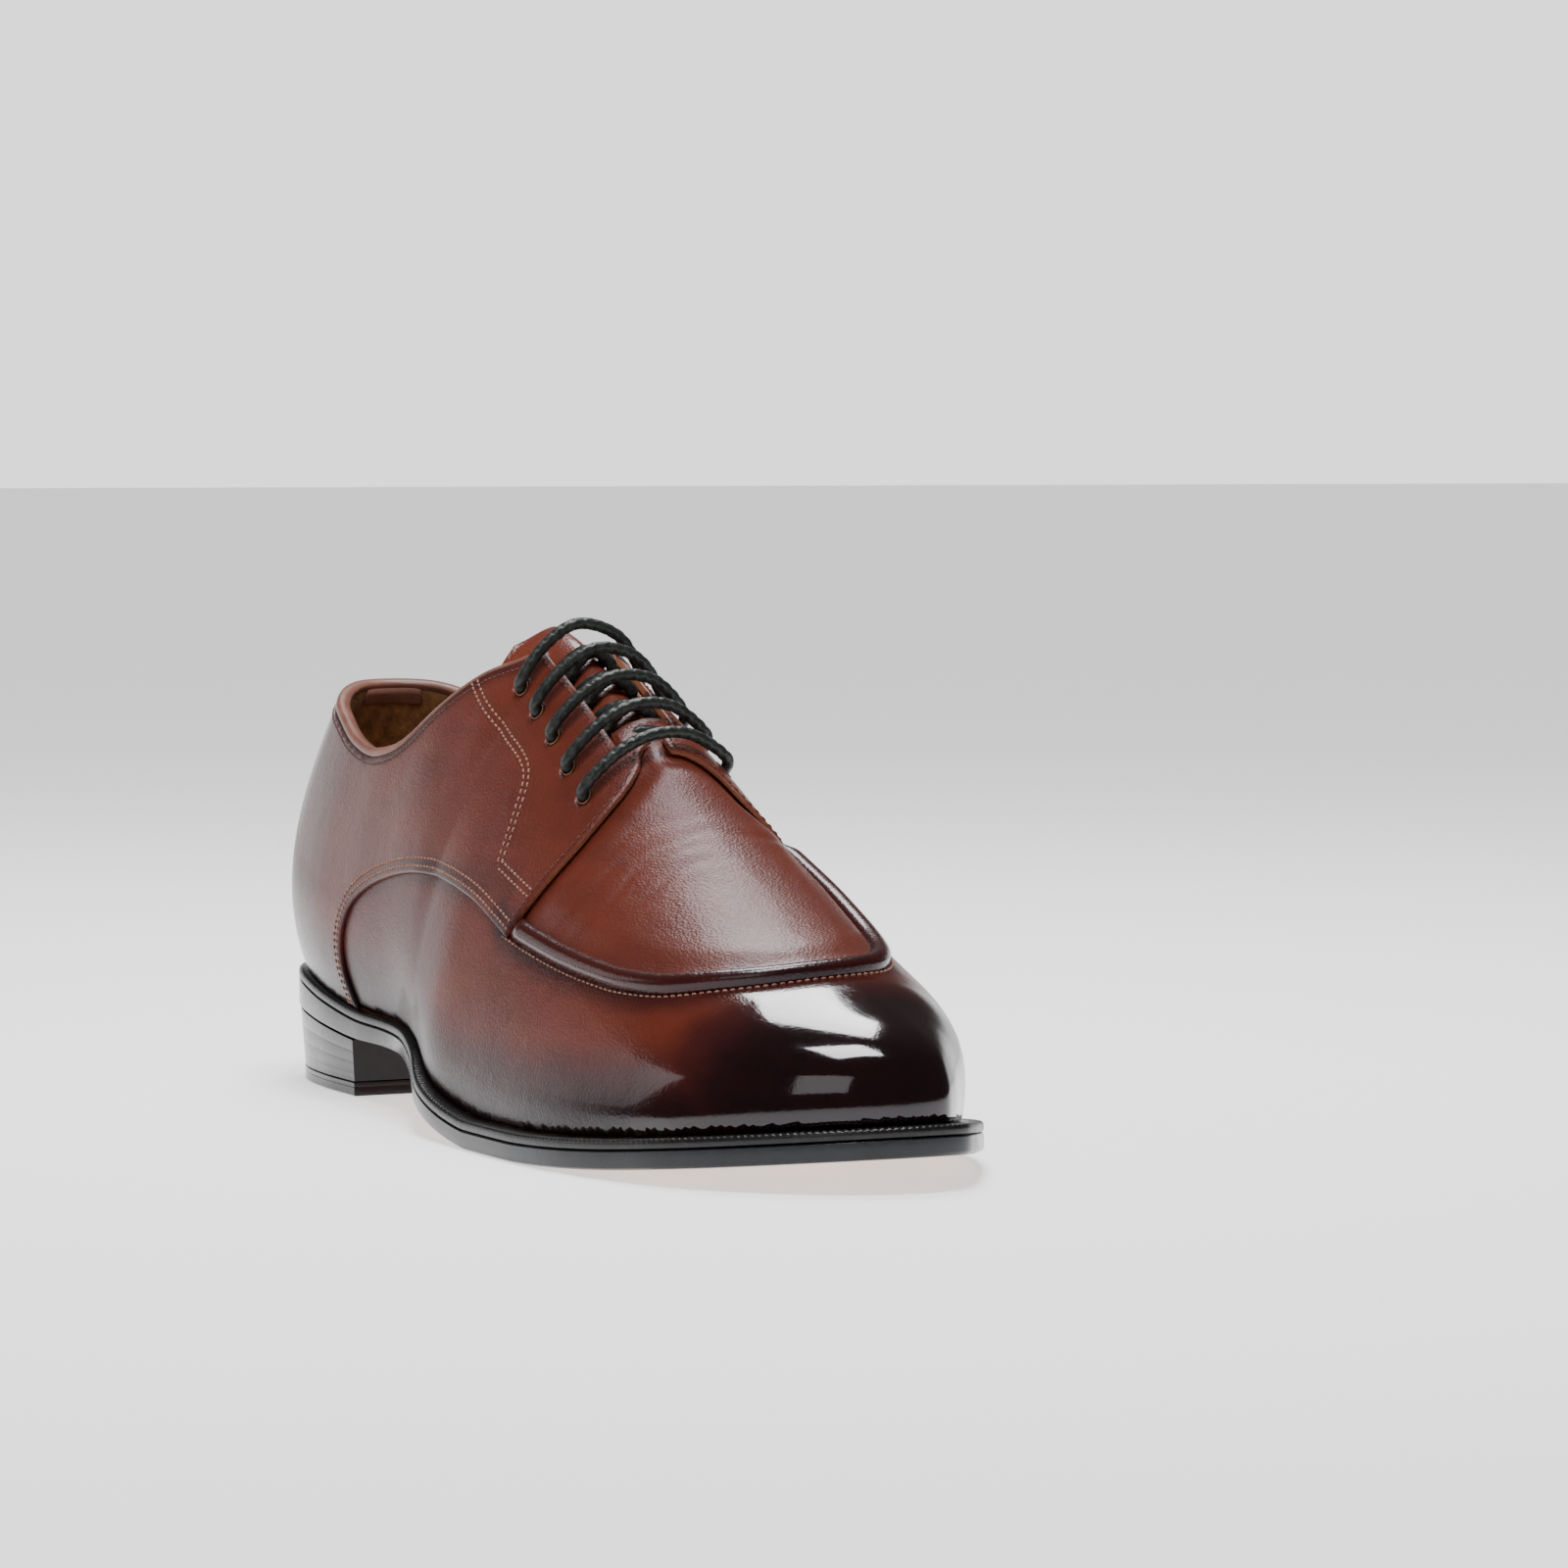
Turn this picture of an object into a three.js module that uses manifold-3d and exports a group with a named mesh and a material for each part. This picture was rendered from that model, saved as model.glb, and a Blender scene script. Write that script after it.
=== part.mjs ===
// An apron-toe derby for the right foot, empty, standing on its heel and forepart.
// Millimetres. +X runs from heel to toe, +Y to the wearer's left (the inner side), +Z up.
// The origin is the middle of the heel's tread, on the floor.
import * as THREE from 'three';
import { mergeVertices } from 'three/addons/utils/BufferGeometryUtils.js';
import Module from 'manifold-3d';

const wasm = await Module();
wasm.setup();

// Driving sizes of the last and the bottom
const length = 296;            // outsole, back edge to toe tip
const ball_width = 95;         // outsole across the ball
const heel_width = 62.4;       // outsole across the heel
const instep_height = 113;     // ridge of the instep at the top of the throat, above the floor
const toe_height = 42;         // top of the toe box, above the floor
const back_height = 97.7;      // collar at the back, above the floor
const heel_height = 18.8;      // underside of the outsole at the back, above the floor
const toe_spring = 7.6;        // underside of the outsole at the toe tip, above the floor
const welt_width = 4.8;        // welt that shows outside the upper at the toe
const gap = 0.3;               // between pieces that touch

// Layers
const outsole_thickness = 4.5;
const welt_thickness = 2.2;
const insole_thickness = 3.0;
const lift_thickness = 3.4;
const wall = 1.7;              // vamp leather and its lining
const quarter_step = 1.2;      // the quarter lies over the vamp by this much
const apron_step = 1.2;        // the apron's leather over the vamp
const tongue_thickness = 1.8;
const tongue_depth = 1.2;      // room between the facings and the tongue
const tab_thickness = 1.0;

// Lacing
const lace_diameter = 2.8;
const eyelet_diameter = 3.6;
const throat_width = 14.6;
const throat_shift = 2.2;      // the throat lies this far to the outer side of the ridge

const half_ball = ball_width / 2;
const half_heel = heel_width / 2;

// Outline of the outsole: at is a share of the length; outer and inner are half widths, as shares
// of half the heel width or half the ball width
const OUTLINE = [
  { at: 0.000, outer: 0.000, inner: 0.000, of: half_heel },
  { at: 0.008, outer: 0.378, inner: 0.372, of: half_heel },
  { at: 0.030, outer: 0.654, inner: 0.641, of: half_heel },
  { at: 0.080, outer: 0.885, inner: 0.878, of: half_heel },
  { at: 0.150, outer: 1.000, inner: 0.994, of: half_heel },
  { at: 0.240, outer: 1.026, inner: 0.955, of: half_heel },
  { at: 0.330, outer: 0.686, inner: 0.530, of: half_ball },
  { at: 0.410, outer: 0.808, inner: 0.488, of: half_ball },
  { at: 0.500, outer: 0.994, inner: 0.547, of: half_ball },
  { at: 0.580, outer: 1.040, inner: 0.695, of: half_ball },
  { at: 0.650, outer: 1.050, inner: 0.850, of: half_ball },
  { at: 0.710, outer: 1.040, inner: 0.956, of: half_ball },
  { at: 0.770, outer: 0.998, inner: 1.004, of: half_ball },
  { at: 0.830, outer: 0.905, inner: 0.977, of: half_ball },
  { at: 0.890, outer: 0.762, inner: 0.834, of: half_ball },
  { at: 0.940, outer: 0.530, inner: 0.657, of: half_ball },
  { at: 0.975, outer: 0.275, inner: 0.510, of: half_ball },
  { at: 0.992, outer: 0.070, inner: 0.400, of: half_ball },
  { at: 1.000, outer: -0.173, inner: 0.173, of: half_ball },
];

// Bottom of the shoe: under is the outsole's underside, as a share of the heel height behind the
// tread and of the toe spring in front of it; thick is a share of the outsole and welt together
const BOTTOM = [
  { at: 0.000, under: 1.000, thick: 1.43, of: heel_height },
  { at: 0.080, under: 0.973, thick: 1.43, of: heel_height },
  { at: 0.160, under: 0.862, thick: 1.25, of: heel_height },
  { at: 0.235, under: 0.761, thick: 1.10, of: heel_height },
  { at: 0.310, under: 0.739, thick: 1.01, of: heel_height },
  { at: 0.380, under: 0.670, thick: 0.99, of: heel_height },
  { at: 0.440, under: 0.511, thick: 0.99, of: heel_height },
  { at: 0.500, under: 0.277, thick: 1.00, of: heel_height },
  { at: 0.560, under: 0.085, thick: 1.00, of: heel_height },
  { at: 0.610, under: 0.000, thick: 1.00, of: heel_height },
  { at: 0.700, under: 0.000, thick: 1.00, of: toe_spring },
  { at: 0.800, under: 0.184, thick: 1.00, of: toe_spring },
  { at: 0.900, under: 0.553, thick: 1.00, of: toe_spring },
  { at: 1.000, under: 1.000, thick: 1.00, of: toe_spring },
];

// Ribs of the last, from the feather edge up to the ridge (or, behind the throat, towards the cone
// above the collar). inset is the feather edge's distance inside the outsole's edge, as a share of
// the welt width; axis is the ridge's offset to the inner side, as a share of half the ball width;
// top is the ridge height from the toe height (0) to the instep height (1); end is the half width
// left at the top, as a share of half the heel width; lean is how far the wall leans out at the
// feather edge and fold how far it leans in at the top, in degrees; rise and spread are the
// lengths of the wall's two tangents, as shares of the rib's height and of its reach
const RIBS = [
  { at: 0.000, axis: 0.000, top: 1.070, end: 0.230,
    outer: { inset: 0.69, lean: 22, rise: 0.333, fold: 23, spread: 0.38 },
    inner: { inset: 0.69, lean: 22, rise: 0.333, fold: 23, spread: 0.38 } },
  { at: 0.060, axis: 0.000, top: 1.070, end: 0.240,
    outer: { inset: 0.69, lean: 22, rise: 0.333, fold: 23, spread: 0.38 },
    inner: { inset: 0.69, lean: 22, rise: 0.333, fold: 23, spread: 0.38 } },
  { at: 0.140, axis: 0.017, top: 1.070, end: 0.330,
    outer: { inset: 0.62, lean: 20, rise: 0.333, fold: 22, spread: 0.38 },
    inner: { inset: 0.62, lean: 18, rise: 0.333, fold: 22, spread: 0.38 } },
  { at: 0.240, axis: 0.050, top: 1.070, end: 0.400,
    outer: { inset: 0.50, lean: 18, rise: 0.333, fold: 24, spread: 0.38 },
    inner: { inset: 0.50, lean: 12, rise: 0.333, fold: 22, spread: 0.38 } },
  { at: 0.330, axis: 0.095, top: 1.056, end: 0.270,
    outer: { inset: 0.42, lean: 18, rise: 0.354, fold: 42, spread: 0.333 },
    inner: { inset: 0.54, lean: 20, rise: 0.375, fold: 34, spread: 0.378 } },
  { at: 0.385, axis: 0.120, top: 1.035, end: 0.110,
    outer: { inset: 0.44, lean: 16, rise: 0.366, fold: 66, spread: 0.290 },
    inner: { inset: 0.58, lean: 25, rise: 0.400, fold: 62, spread: 0.400 } },
  { at: 0.430, axis: 0.134, top: 0.985, end: 0.000,
    outer: { inset: 0.50, lean: 13, rise: 0.376, fold: 90, spread: 0.300 },
    inner: { inset: 0.58, lean: 26, rise: 0.420, fold: 90, spread: 0.800 } },
  { at: 0.480, axis: 0.142, top: 0.873, end: 0.000,
    outer: { inset: 0.66, lean: 10, rise: 0.375, fold: 90, spread: 0.330 },
    inner: { inset: 0.48, lean: 25, rise: 0.450, fold: 90, spread: 1.050 } },
  { at: 0.560, axis: 0.156, top: 0.676, end: 0.000,
    outer: { inset: 0.83, lean: 9, rise: 0.367, fold: 90, spread: 0.345 },
    inner: { inset: 0.54, lean: 20, rise: 0.510, fold: 90, spread: 1.050 } },
  { at: 0.640, axis: 0.175, top: 0.444, end: 0.000,
    outer: { inset: 0.92, lean: 9, rise: 0.374, fold: 90, spread: 0.443 },
    inner: { inset: 0.79, lean: 15, rise: 0.560, fold: 90, spread: 0.930 } },
  { at: 0.720, axis: 0.194, top: 0.261, end: 0.000,
    outer: { inset: 0.96, lean: 9, rise: 0.372, fold: 90, spread: 0.557 },
    inner: { inset: 0.92, lean: 11, rise: 0.580, fold: 90, spread: 0.850 } },
  { at: 0.800, axis: 0.202, top: 0.113, end: 0.000,
    outer: { inset: 1.00, lean: 9, rise: 0.406, fold: 90, spread: 0.636 },
    inner: { inset: 0.96, lean: 10, rise: 0.573, fold: 90, spread: 0.783 } },
  { at: 0.870, axis: 0.202, top: 0.000, end: 0.000,
    outer: { inset: 1.00, lean: 9, rise: 0.469, fold: 90, spread: 0.642 },
    inner: { inset: 1.00, lean: 10, rise: 0.625, fold: 90, spread: 0.854 } },
  { at: 1.000, axis: 0.202, top: 0.000, end: 0.000,
    outer: { inset: 1.00, lean: 9, rise: 0.540, fold: 90, spread: 0.653 },
    inner: { inset: 1.00, lean: 9, rise: 0.578, fold: 90, spread: 0.653 } },
];

// Topline as seen from the side: height is a share of the back height
const TOPLINE = [
  { at: 0.000, height: 1.000 },
  { at: 0.060, height: 0.998 },
  { at: 0.120, height: 0.932 },
  { at: 0.180, height: 0.873 },
  { at: 0.240, height: 0.853 },
  { at: 0.290, height: 0.892 },
  { at: 0.330, height: 0.982 },
  { at: 0.370, height: 1.062 },
  { at: 0.400, height: 1.098 },
  { at: 0.430, height: 1.150 },
];

const heel_pole = 0.105;       // the ribs fan round the heel about here
const toe_pole = 0.870;        // and round the toe about here
const throat_top = 0.430;      // the ridge starts here, in front of the collar
const toe_slope = 0.40;        // fall of the ridge over the toe box
const tread_centre = 0.118 * length;

// Front edges of the two quarters as seen from the side, from the throat down to the corner, then
// their foot from that corner back and down to the sole; at is a share of the length and up a share
// of the instep height
const FACING_OUTER = [
  { at: 0.557, up: 0.800 },
  { at: 0.566, up: 0.772 },
  { at: 0.578, up: 0.742 },
  { at: 0.589, up: 0.695 },
  { at: 0.596, up: 0.600 },
  { at: 0.591, up: 0.505 },
  { at: 0.583, up: 0.412 },
];
const FACING_INNER = [
  { at: 0.557, up: 0.825 },
  { at: 0.571, up: 0.780 },
  { at: 0.589, up: 0.722 },
  { at: 0.610, up: 0.662 },
  { at: 0.622, up: 0.598 },
  { at: 0.606, up: 0.515 },
  { at: 0.583, up: 0.430 },
];
const QUARTER_FOOT = [
  { at: 0.555, up: 0.440 },
  { at: 0.512, up: 0.480 },
  { at: 0.457, up: 0.505 },
  { at: 0.391, up: 0.513 },
  { at: 0.329, up: 0.494 },
  { at: 0.278, up: 0.460 },
  { at: 0.243, up: 0.412 },
  { at: 0.224, up: 0.347 },
  { at: 0.222, up: 0.285 },
  { at: 0.236, up: 0.190 },
];

// The apron's seam as seen from above, along and across as shares of the length and of half the
// ball width, from the outer facing round the toe to the inner facing
const APRON = [
  { at: 0.570, across: -0.722 },
  { at: 0.625, across: -0.705 },
  { at: 0.671, across: -0.687 },
  { at: 0.712, across: -0.660 },
  { at: 0.758, across: -0.610 },
  { at: 0.799, across: -0.510 },
  { at: 0.828, across: -0.350 },
  { at: 0.849, across: -0.150 },
  { at: 0.857, across: 0.060 },
  { at: 0.855, across: 0.260 },
  { at: 0.843, across: 0.440 },
  { at: 0.820, across: 0.560 },
  { at: 0.785, across: 0.625 },
  { at: 0.740, across: 0.650 },
  { at: 0.690, across: 0.658 },
  { at: 0.640, across: 0.650 },
  { at: 0.585, across: 0.630 },
];

// Section of the rolled apron seam in millimetres: in is the distance from the seam towards the
// apron's middle and step the height over the vamp
const RIDGE = [
  { in: -0.4, step: -0.6 },
  { in: -0.2, step: 1.5 },
  { in: 0.8, step: 2.5 },
  { in: 2.4, step: 2.7 },
  { in: 3.8, step: 2.1 },
  { in: 4.7, step: 1.0 },
  { in: 4.9, step: -0.6 },
];

// Half width of the tongue as a share of the throat's width, and how deep it lies below the facings
// as a share of the tongue's room
const TONGUE = [
  { at: 0.362, half: 0.550, sink: 0.0 },
  { at: 0.365, half: 0.800, sink: 0.0 },
  { at: 0.371, half: 0.960, sink: 0.1 },
  { at: 0.384, half: 1.060, sink: 0.4 },
  { at: 0.400, half: 1.100, sink: 0.7 },
  { at: 0.430, half: 1.150, sink: 1.0 },
  { at: 0.500, half: 1.250, sink: 1.0 },
  { at: 0.560, half: 1.250, sink: 1.0 },
  { at: 0.598, half: 1.200, sink: 0.0 },
  { at: 0.622, half: 1.150, sink: 0.0 },
];

// Eyelets of both facings, from the top: outer and inner are their places across, as shares of half
// the ball width
const EYELETS = [
  { at: 0.4200, outer: -0.200, inner: 0.385 },
  { at: 0.4565, outer: -0.214, inner: 0.400 },
  { at: 0.4930, outer: -0.231, inner: 0.418 },
  { at: 0.5295, outer: -0.252, inner: 0.438 },
  { at: 0.5640, outer: -0.264, inner: 0.452 },
];

// A smooth value between the rows of a table
function track(rows, read, at) {
  const last = rows.length - 1;
  const place = Math.min(Math.max(at, rows[0].at), rows[last].at);
  let i = 0;
  while (i < last - 1 && rows[i + 1].at < place) i += 1;
  const slope = (k) => (read(rows[k + 1]) - read(rows[k])) / (rows[k + 1].at - rows[k].at);
  const tangent = (k) => {
    if (k === 0) return slope(0);
    if (k === last) return slope(last - 1);
    const before = rows[k].at - rows[k - 1].at;
    const after = rows[k + 1].at - rows[k].at;
    return (slope(k - 1) * after + slope(k) * before) / (before + after);
  };
  const span = rows[i + 1].at - rows[i].at;
  const t = (place - rows[i].at) / span;
  const from = (2 * t ** 3 - 3 * t ** 2 + 1) * read(rows[i]);
  const leave = (t ** 3 - 2 * t ** 2 + t) * span * tangent(i);
  const to = (3 * t ** 2 - 2 * t ** 3) * read(rows[i + 1]);
  const arrive = (t ** 3 - t ** 2) * span * tangent(i + 1);
  return from + leave + to + arrive;
}

const under = (at) => Math.max(0, track(BOTTOM, (row) => row.under * row.of, at));
const sole_thickness = outsole_thickness + welt_thickness;
const seat = (at) => under(at) + sole_thickness * track(BOTTOM, (row) => row.thick, at);
const axis_y = (at) => half_ball * track(RIBS, (row) => row.axis, at);
const ridge_z = (at) => toe_height + (instep_height - toe_height) * track(RIBS, (row) => row.top, at);
const topline = (at) => back_height * track(TOPLINE, (row) => row.height, at);

// The outsole's outline in plan, from the back round the outer side to the toe and home again
const outline_steps = 12;
const outlineKnots = [
  ...OUTLINE.map((row) => new THREE.Vector3(row.at * length, -row.outer * row.of, 0)),
  ...OUTLINE.slice(1, -1).reverse().map((row) => new THREE.Vector3(row.at * length, row.inner * row.of, 0)),
];
const outlineCurve = new THREE.CatmullRomCurve3(outlineKnots, true, 'centripetal');
const outline = outlineCurve.getPoints(outlineKnots.length * outline_steps).slice(0, -1);

// The outline moved inwards by a distance that may change along the shoe
function insetOutline(distance) {
  const count = outline.length;
  return outline.map((point, i) => {
    const next = outline[(i + 2) % count];
    const before = outline[(i + count - 2) % count];
    const along = new THREE.Vector2(next.x - before.x, next.y - before.y).normalize();
    const move = distance(point);
    return new THREE.Vector2(point.x - along.y * move, point.y + along.x * move);
  });
}

const blend_width = 10;
const featherInset = (point) => {
  const at = point.x / length;
  const offset = point.y - axis_y(at);
  const inner = THREE.MathUtils.smoothstep(offset, -blend_width, blend_width);
  const outer = track(RIBS, (row) => row.outer.inset, at);
  return welt_width * (outer * (1 - inner) + track(RIBS, (row) => row.inner.inset, at) * inner);
};
const feather = insetOutline(featherInset);

// Distance from a point to a closed outline along a direction in plan
function reach(polygon, from, direction) {
  let best = 0;
  for (let i = 0; i < polygon.length; i += 1) {
    const a = polygon[i];
    const b = polygon[(i + 1) % polygon.length];
    const edge = { x: b.x - a.x, y: b.y - a.y };
    const cross = direction.x * edge.y - direction.y * edge.x;
    if (Math.abs(cross) < 1e-9) continue;
    const t = ((a.x - from.x) * edge.y - (a.y - from.y) * edge.x) / cross;
    const w = ((a.x - from.x) * direction.y - (a.y - from.y) * direction.x) / cross;
    if (t > best && w >= 0 && w < 1) best = t;
  }
  return best;
}

// One rib of the last: a cubic from the feather edge to the ridge or the cone
function makeRib(at, dx, dy) {
  const pole = at <= heel_pole || at >= toe_pole;
  const from = { x: at * length, y: axis_y(at) };
  const span = reach(feather, from, { x: dx, y: dy });
  const foot = (from.x + dx * span) / length;
  const key = pole ? foot : at;
  const inner = 0.5 + 0.5 * dy;
  const mix = (name) => (1 - inner) * track(RIBS, (row) => row.outer[name], key)
    + inner * track(RIBS, (row) => row.inner[name], key);
  const low = seat(foot) + gap;
  const high = ridge_z(at);
  const closed = at >= throat_top - 1e-6;
  const end = closed ? 0 : Math.max(0, half_heel * track(RIBS, (row) => row.end, key));
  const lean = THREE.MathUtils.degToRad(mix('lean'));
  const fold = THREE.MathUtils.degToRad(closed ? 90 : Math.min(90, mix('fold')));
  const rise = mix('rise') * (high - low);
  const spread = mix('spread') * (span * Math.sin(fold) + (high - low) * Math.cos(fold));
  const points = [
    [span, low],
    [span + rise * Math.sin(lean), low + rise * Math.cos(lean)],
    [end + spread * Math.sin(fold), high - spread * Math.cos(fold)],
    [end, high],
  ];
  const forward = at >= toe_pole ? Math.max(dx, 0) : 0;
  const position = (v) => {
    const weights = [(1 - v) ** 3, 3 * v * (1 - v) ** 2, 3 * v * v * (1 - v), v ** 3];
    const out = weights.reduce((sum, weight, k) => sum + weight * points[k][0], 0);
    const up = weights.reduce((sum, weight, k) => sum + weight * points[k][1], 0);
    const fall = toe_slope * forward * out * v ** 1.5 * Math.max(0, (up - low) / (high - low));
    return new THREE.Vector3(from.x + dx * out, from.y + dy * out, up - fall);
  };
  return { at, closed, position };
}

// Share of a rib at which it reaches the topline
function ribTop(rib) {
  if (rib.closed) return 1;
  let low = 0.3;
  let high = 1;
  for (let i = 0; i < 40; i += 1) {
    const middle = (low + high) / 2;
    const point = rib.position(middle);
    if (point.z < topline(point.x / length)) low = middle;
    else high = middle;
  }
  return low;
}

// Ribs all round the shoe: heel fan, outer side, toe fan, inner side
const heel_ribs = 5;
const toe_ribs = 10;
const SIDE_STATIONS = [0.105, 0.15, 0.20, 0.25, 0.29, 0.325, 0.355, 0.38, 0.40, 0.417, throat_top,
  0.46, 0.50, 0.54, 0.58, 0.62, 0.66, 0.70, 0.74, 0.78, 0.82, toe_pole];
const ribs = [];
for (let k = 0; k < heel_ribs; k += 1) {
  const turn = (Math.PI / 2) * (k / heel_ribs);
  ribs.push(makeRib(heel_pole, -Math.cos(turn), -Math.sin(turn)));
}
for (const at of SIDE_STATIONS) ribs.push(makeRib(at, 0, -1));
for (let k = 1; k < toe_ribs; k += 1) {
  const turn = Math.PI * (k / toe_ribs);
  ribs.push(makeRib(toe_pole, Math.sin(turn), -Math.cos(turn)));
}
for (const at of [...SIDE_STATIONS].reverse()) ribs.push(makeRib(at, 0, 1));
for (let k = 1; k < heel_ribs; k += 1) {
  const turn = (Math.PI / 2) * (k / heel_ribs);
  ribs.push(makeRib(heel_pole, -Math.sin(turn), Math.cos(turn)));
}

const rib_rows = 12;
const skin = ribs.map((rib) => {
  const top = ribTop(rib);
  return Array.from({ length: rib_rows + 1 }, (_, j) => rib.position((top * j) / rib_rows));
});

// Outward normals of the last's skin, level at the feather edge so that the rim stays level
const normals = skin.map((column, i) => column.map((point, j) => {
  const rib = ribs[i];
  if (rib.closed && j === rib_rows) {
    const step = 0.004;
    const ahead = Math.min(rib.at + step, toe_pole);
    const fall = (ridge_z(ahead) - ridge_z(ahead - 2 * step)) / (2 * step * length);
    return new THREE.Vector3(-fall, 0, 1).normalize();
  }
  const next = skin[(i + 1) % skin.length][j];
  const before = skin[(i + skin.length - 1) % skin.length][j];
  const above = column[Math.min(j + 1, rib_rows)];
  const below = column[Math.max(j - 1, 0)];
  const around = new THREE.Vector3().subVectors(next, before);
  const climb = new THREE.Vector3().subVectors(above, below);
  const normal = around.cross(climb);
  if (j === 0) normal.setZ(0);
  return normal.normalize();
}));

const sheet = (offset) => skin.map((column, i) => column.map((point, j) => (
  new THREE.Vector3().copy(point).addScaledVector(normals[i][j], offset))));

// A closed body from a list of faces given as rings of points
function geometryOf(faces) {
  const position = [];
  for (const face of faces) {
    for (let k = 1; k + 1 < face.length; k += 1) {
      for (const point of [face[0], face[k], face[k + 1]]) position.push(point.x, point.y, point.z);
    }
  }
  const loose = new THREE.BufferGeometry();
  loose.setAttribute('position', new THREE.Float32BufferAttribute(position, 3));
  const merged = mergeVertices(loose, 1e-4);
  const kept = [];
  for (let k = 0; k < merged.index.count; k += 3) {
    const [a, b, c] = [0, 1, 2].map((n) => merged.index.getX(k + n));
    if (a !== b && b !== c && c !== a) kept.push(a, b, c);
  }
  merged.setIndex(kept);
  return merged;
}

// Quads between two rings of points; the ring closes on itself
function band(low, high) {
  return low.map((point, i) => {
    const n = (i + 1) % low.length;
    return [point, low[n], high[n], high[i]];
  });
}

// A wall between two offsets of the last's skin, open at the collar and underneath
function layer(outside, inside) {
  const out = sheet(outside);
  const back = sheet(inside);
  const faces = [];
  for (let i = 0; i < out.length; i += 1) {
    const n = (i + 1) % out.length;
    for (let j = 0; j < rib_rows; j += 1) {
      faces.push([out[i][j], out[n][j], out[n][j + 1], out[i][j + 1]]);
      faces.push([back[i][j + 1], back[n][j + 1], back[n][j], back[i][j]]);
    }
    faces.push([back[i][0], back[n][0], out[n][0], out[i][0]]);
    if (ribs[i].closed && ribs[n].closed) continue;
    faces.push([out[i][rib_rows], out[n][rib_rows], back[n][rib_rows], back[i][rib_rows]]);
  }
  return solid(geometryOf(faces));
}

// A three.js geometry as a solid that can be joined and cut, and back again
function solid(geometry) {
  const bare = geometry.clone();
  for (const name of Object.keys(bare.attributes)) {
    if (name !== 'position') bare.deleteAttribute(name);
  }
  const merged = mergeVertices(bare, 1e-4);
  const mesh = new wasm.Mesh({
    numProp: 3,
    vertProperties: new Float32Array(merged.attributes.position.array),
    triVerts: new Uint32Array(merged.index.array),
  });
  return new wasm.Manifold(mesh);
}

// Joins leave slivers where two rims run close together, so only the largest shell is kept
function geometryFrom(body) {
  const shells = body.decompose().sort((a, b) => b.volume() - a.volume());
  const mesh = shells[0].getMesh();
  const geometry = new THREE.BufferGeometry();
  geometry.setAttribute('position', new THREE.BufferAttribute(mesh.vertProperties, 3));
  geometry.setIndex(new THREE.BufferAttribute(mesh.triVerts, 1));
  return geometry;
}

// A closed body through a row of rings of points, with flat ends
function loft(rings) {
  const faces = [[...rings[0]].reverse(), [...rings[rings.length - 1]]];
  for (let k = 0; k + 1 < rings.length; k += 1) faces.push(...band(rings[k], rings[k + 1]));
  const inside = rings[0][0].clone();
  const volume = faces.reduce((sum, face) => {
    let part = 0;
    for (let k = 1; k + 1 < face.length; k += 1) {
      const [a, b, c] = [face[0], face[k], face[k + 1]].map((point) => point.clone().sub(inside));
      part += a.dot(b.cross(c));
    }
    return sum + part;
  }, 0);
  return geometryOf(volume < 0 ? faces.map((face) => [...face].reverse()) : faces);
}

// Prisms that cut overlays: one from the middle of the throat to one side, one from above
const throat_middle = axis_y(0.5) - throat_shift;
const throat_end = FACING_OUTER[0].at * length;
const prism_height = 2 * instep_height;
function sidePrism(points, side) {
  const shape = new THREE.Shape(points);
  const geometry = new THREE.ExtrudeGeometry(shape, { depth: ball_width, bevelEnabled: false });
  geometry.rotateX(Math.PI / 2);
  geometry.translate(0, throat_middle + (side > 0 ? ball_width : 0), 0);
  return solid(geometry);
}
function topPrism(points) {
  const shape = new THREE.Shape(points);
  const geometry = new THREE.ExtrudeGeometry(shape, { depth: prism_height, bevelEnabled: false });
  return solid(geometry);
}

function curveThrough(points, count) {
  const knots = points.map((p) => new THREE.Vector3(p.x, p.y, 0));
  const curve = new THREE.CatmullRomCurve3(knots, false, 'centripetal');
  return curve.getPoints(count).map((p) => new THREE.Vector2(p.x, p.y));
}

// The quarter of one side: everything above and behind its front edge and its foot
function quarterPrism(side) {
  const seen = (row) => ({ x: row.at * length, y: row.up * instep_height });
  const facing = (side > 0 ? FACING_INNER : FACING_OUTER).map(seen);
  const corner = facing[facing.length - 1];
  const front = curveThrough(facing, 14);
  const foot = curveThrough([corner, ...QUARTER_FOOT.map(seen)], 22).slice(1);
  const above = instep_height + toe_height;
  return sidePrism([
    new THREE.Vector2(front[0].x, above),
    ...front,
    ...foot,
    new THREE.Vector2(foot[foot.length - 1].x + welt_width, 0),
    new THREE.Vector2(-2 * welt_width, 0),
    new THREE.Vector2(-2 * welt_width, above),
  ], side);
}

// The place on the last's skin above a point in plan, in front of the throat's top, and its normal
function skinHeight(x, y) {
  const at = x / length;
  const side = y < axis_y(at) ? -1 : 1;
  const rib = makeRib(at, 0, side);
  let low = 0.2;
  let high = 1;
  for (let i = 0; i < 30; i += 1) {
    const middle = (low + high) / 2;
    if (side * (rib.position(middle).y - y) > 0) low = middle;
    else high = middle;
  }
  return rib.position(low).z;
}
function skinAt(at, y) {
  const x = at * length;
  const step = 0.5;
  const ahead = skinHeight(x + step, y) - skinHeight(x - step, y);
  const across = skinHeight(x, y + step) - skinHeight(x, y - step);
  const normal = new THREE.Vector3(-ahead, -across, 2 * step).normalize();
  return { point: new THREE.Vector3(x, y, skinHeight(x, y)), normal };
}
const lifted = (place, height) => place.point.clone().addScaledVector(place.normal, height);

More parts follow.
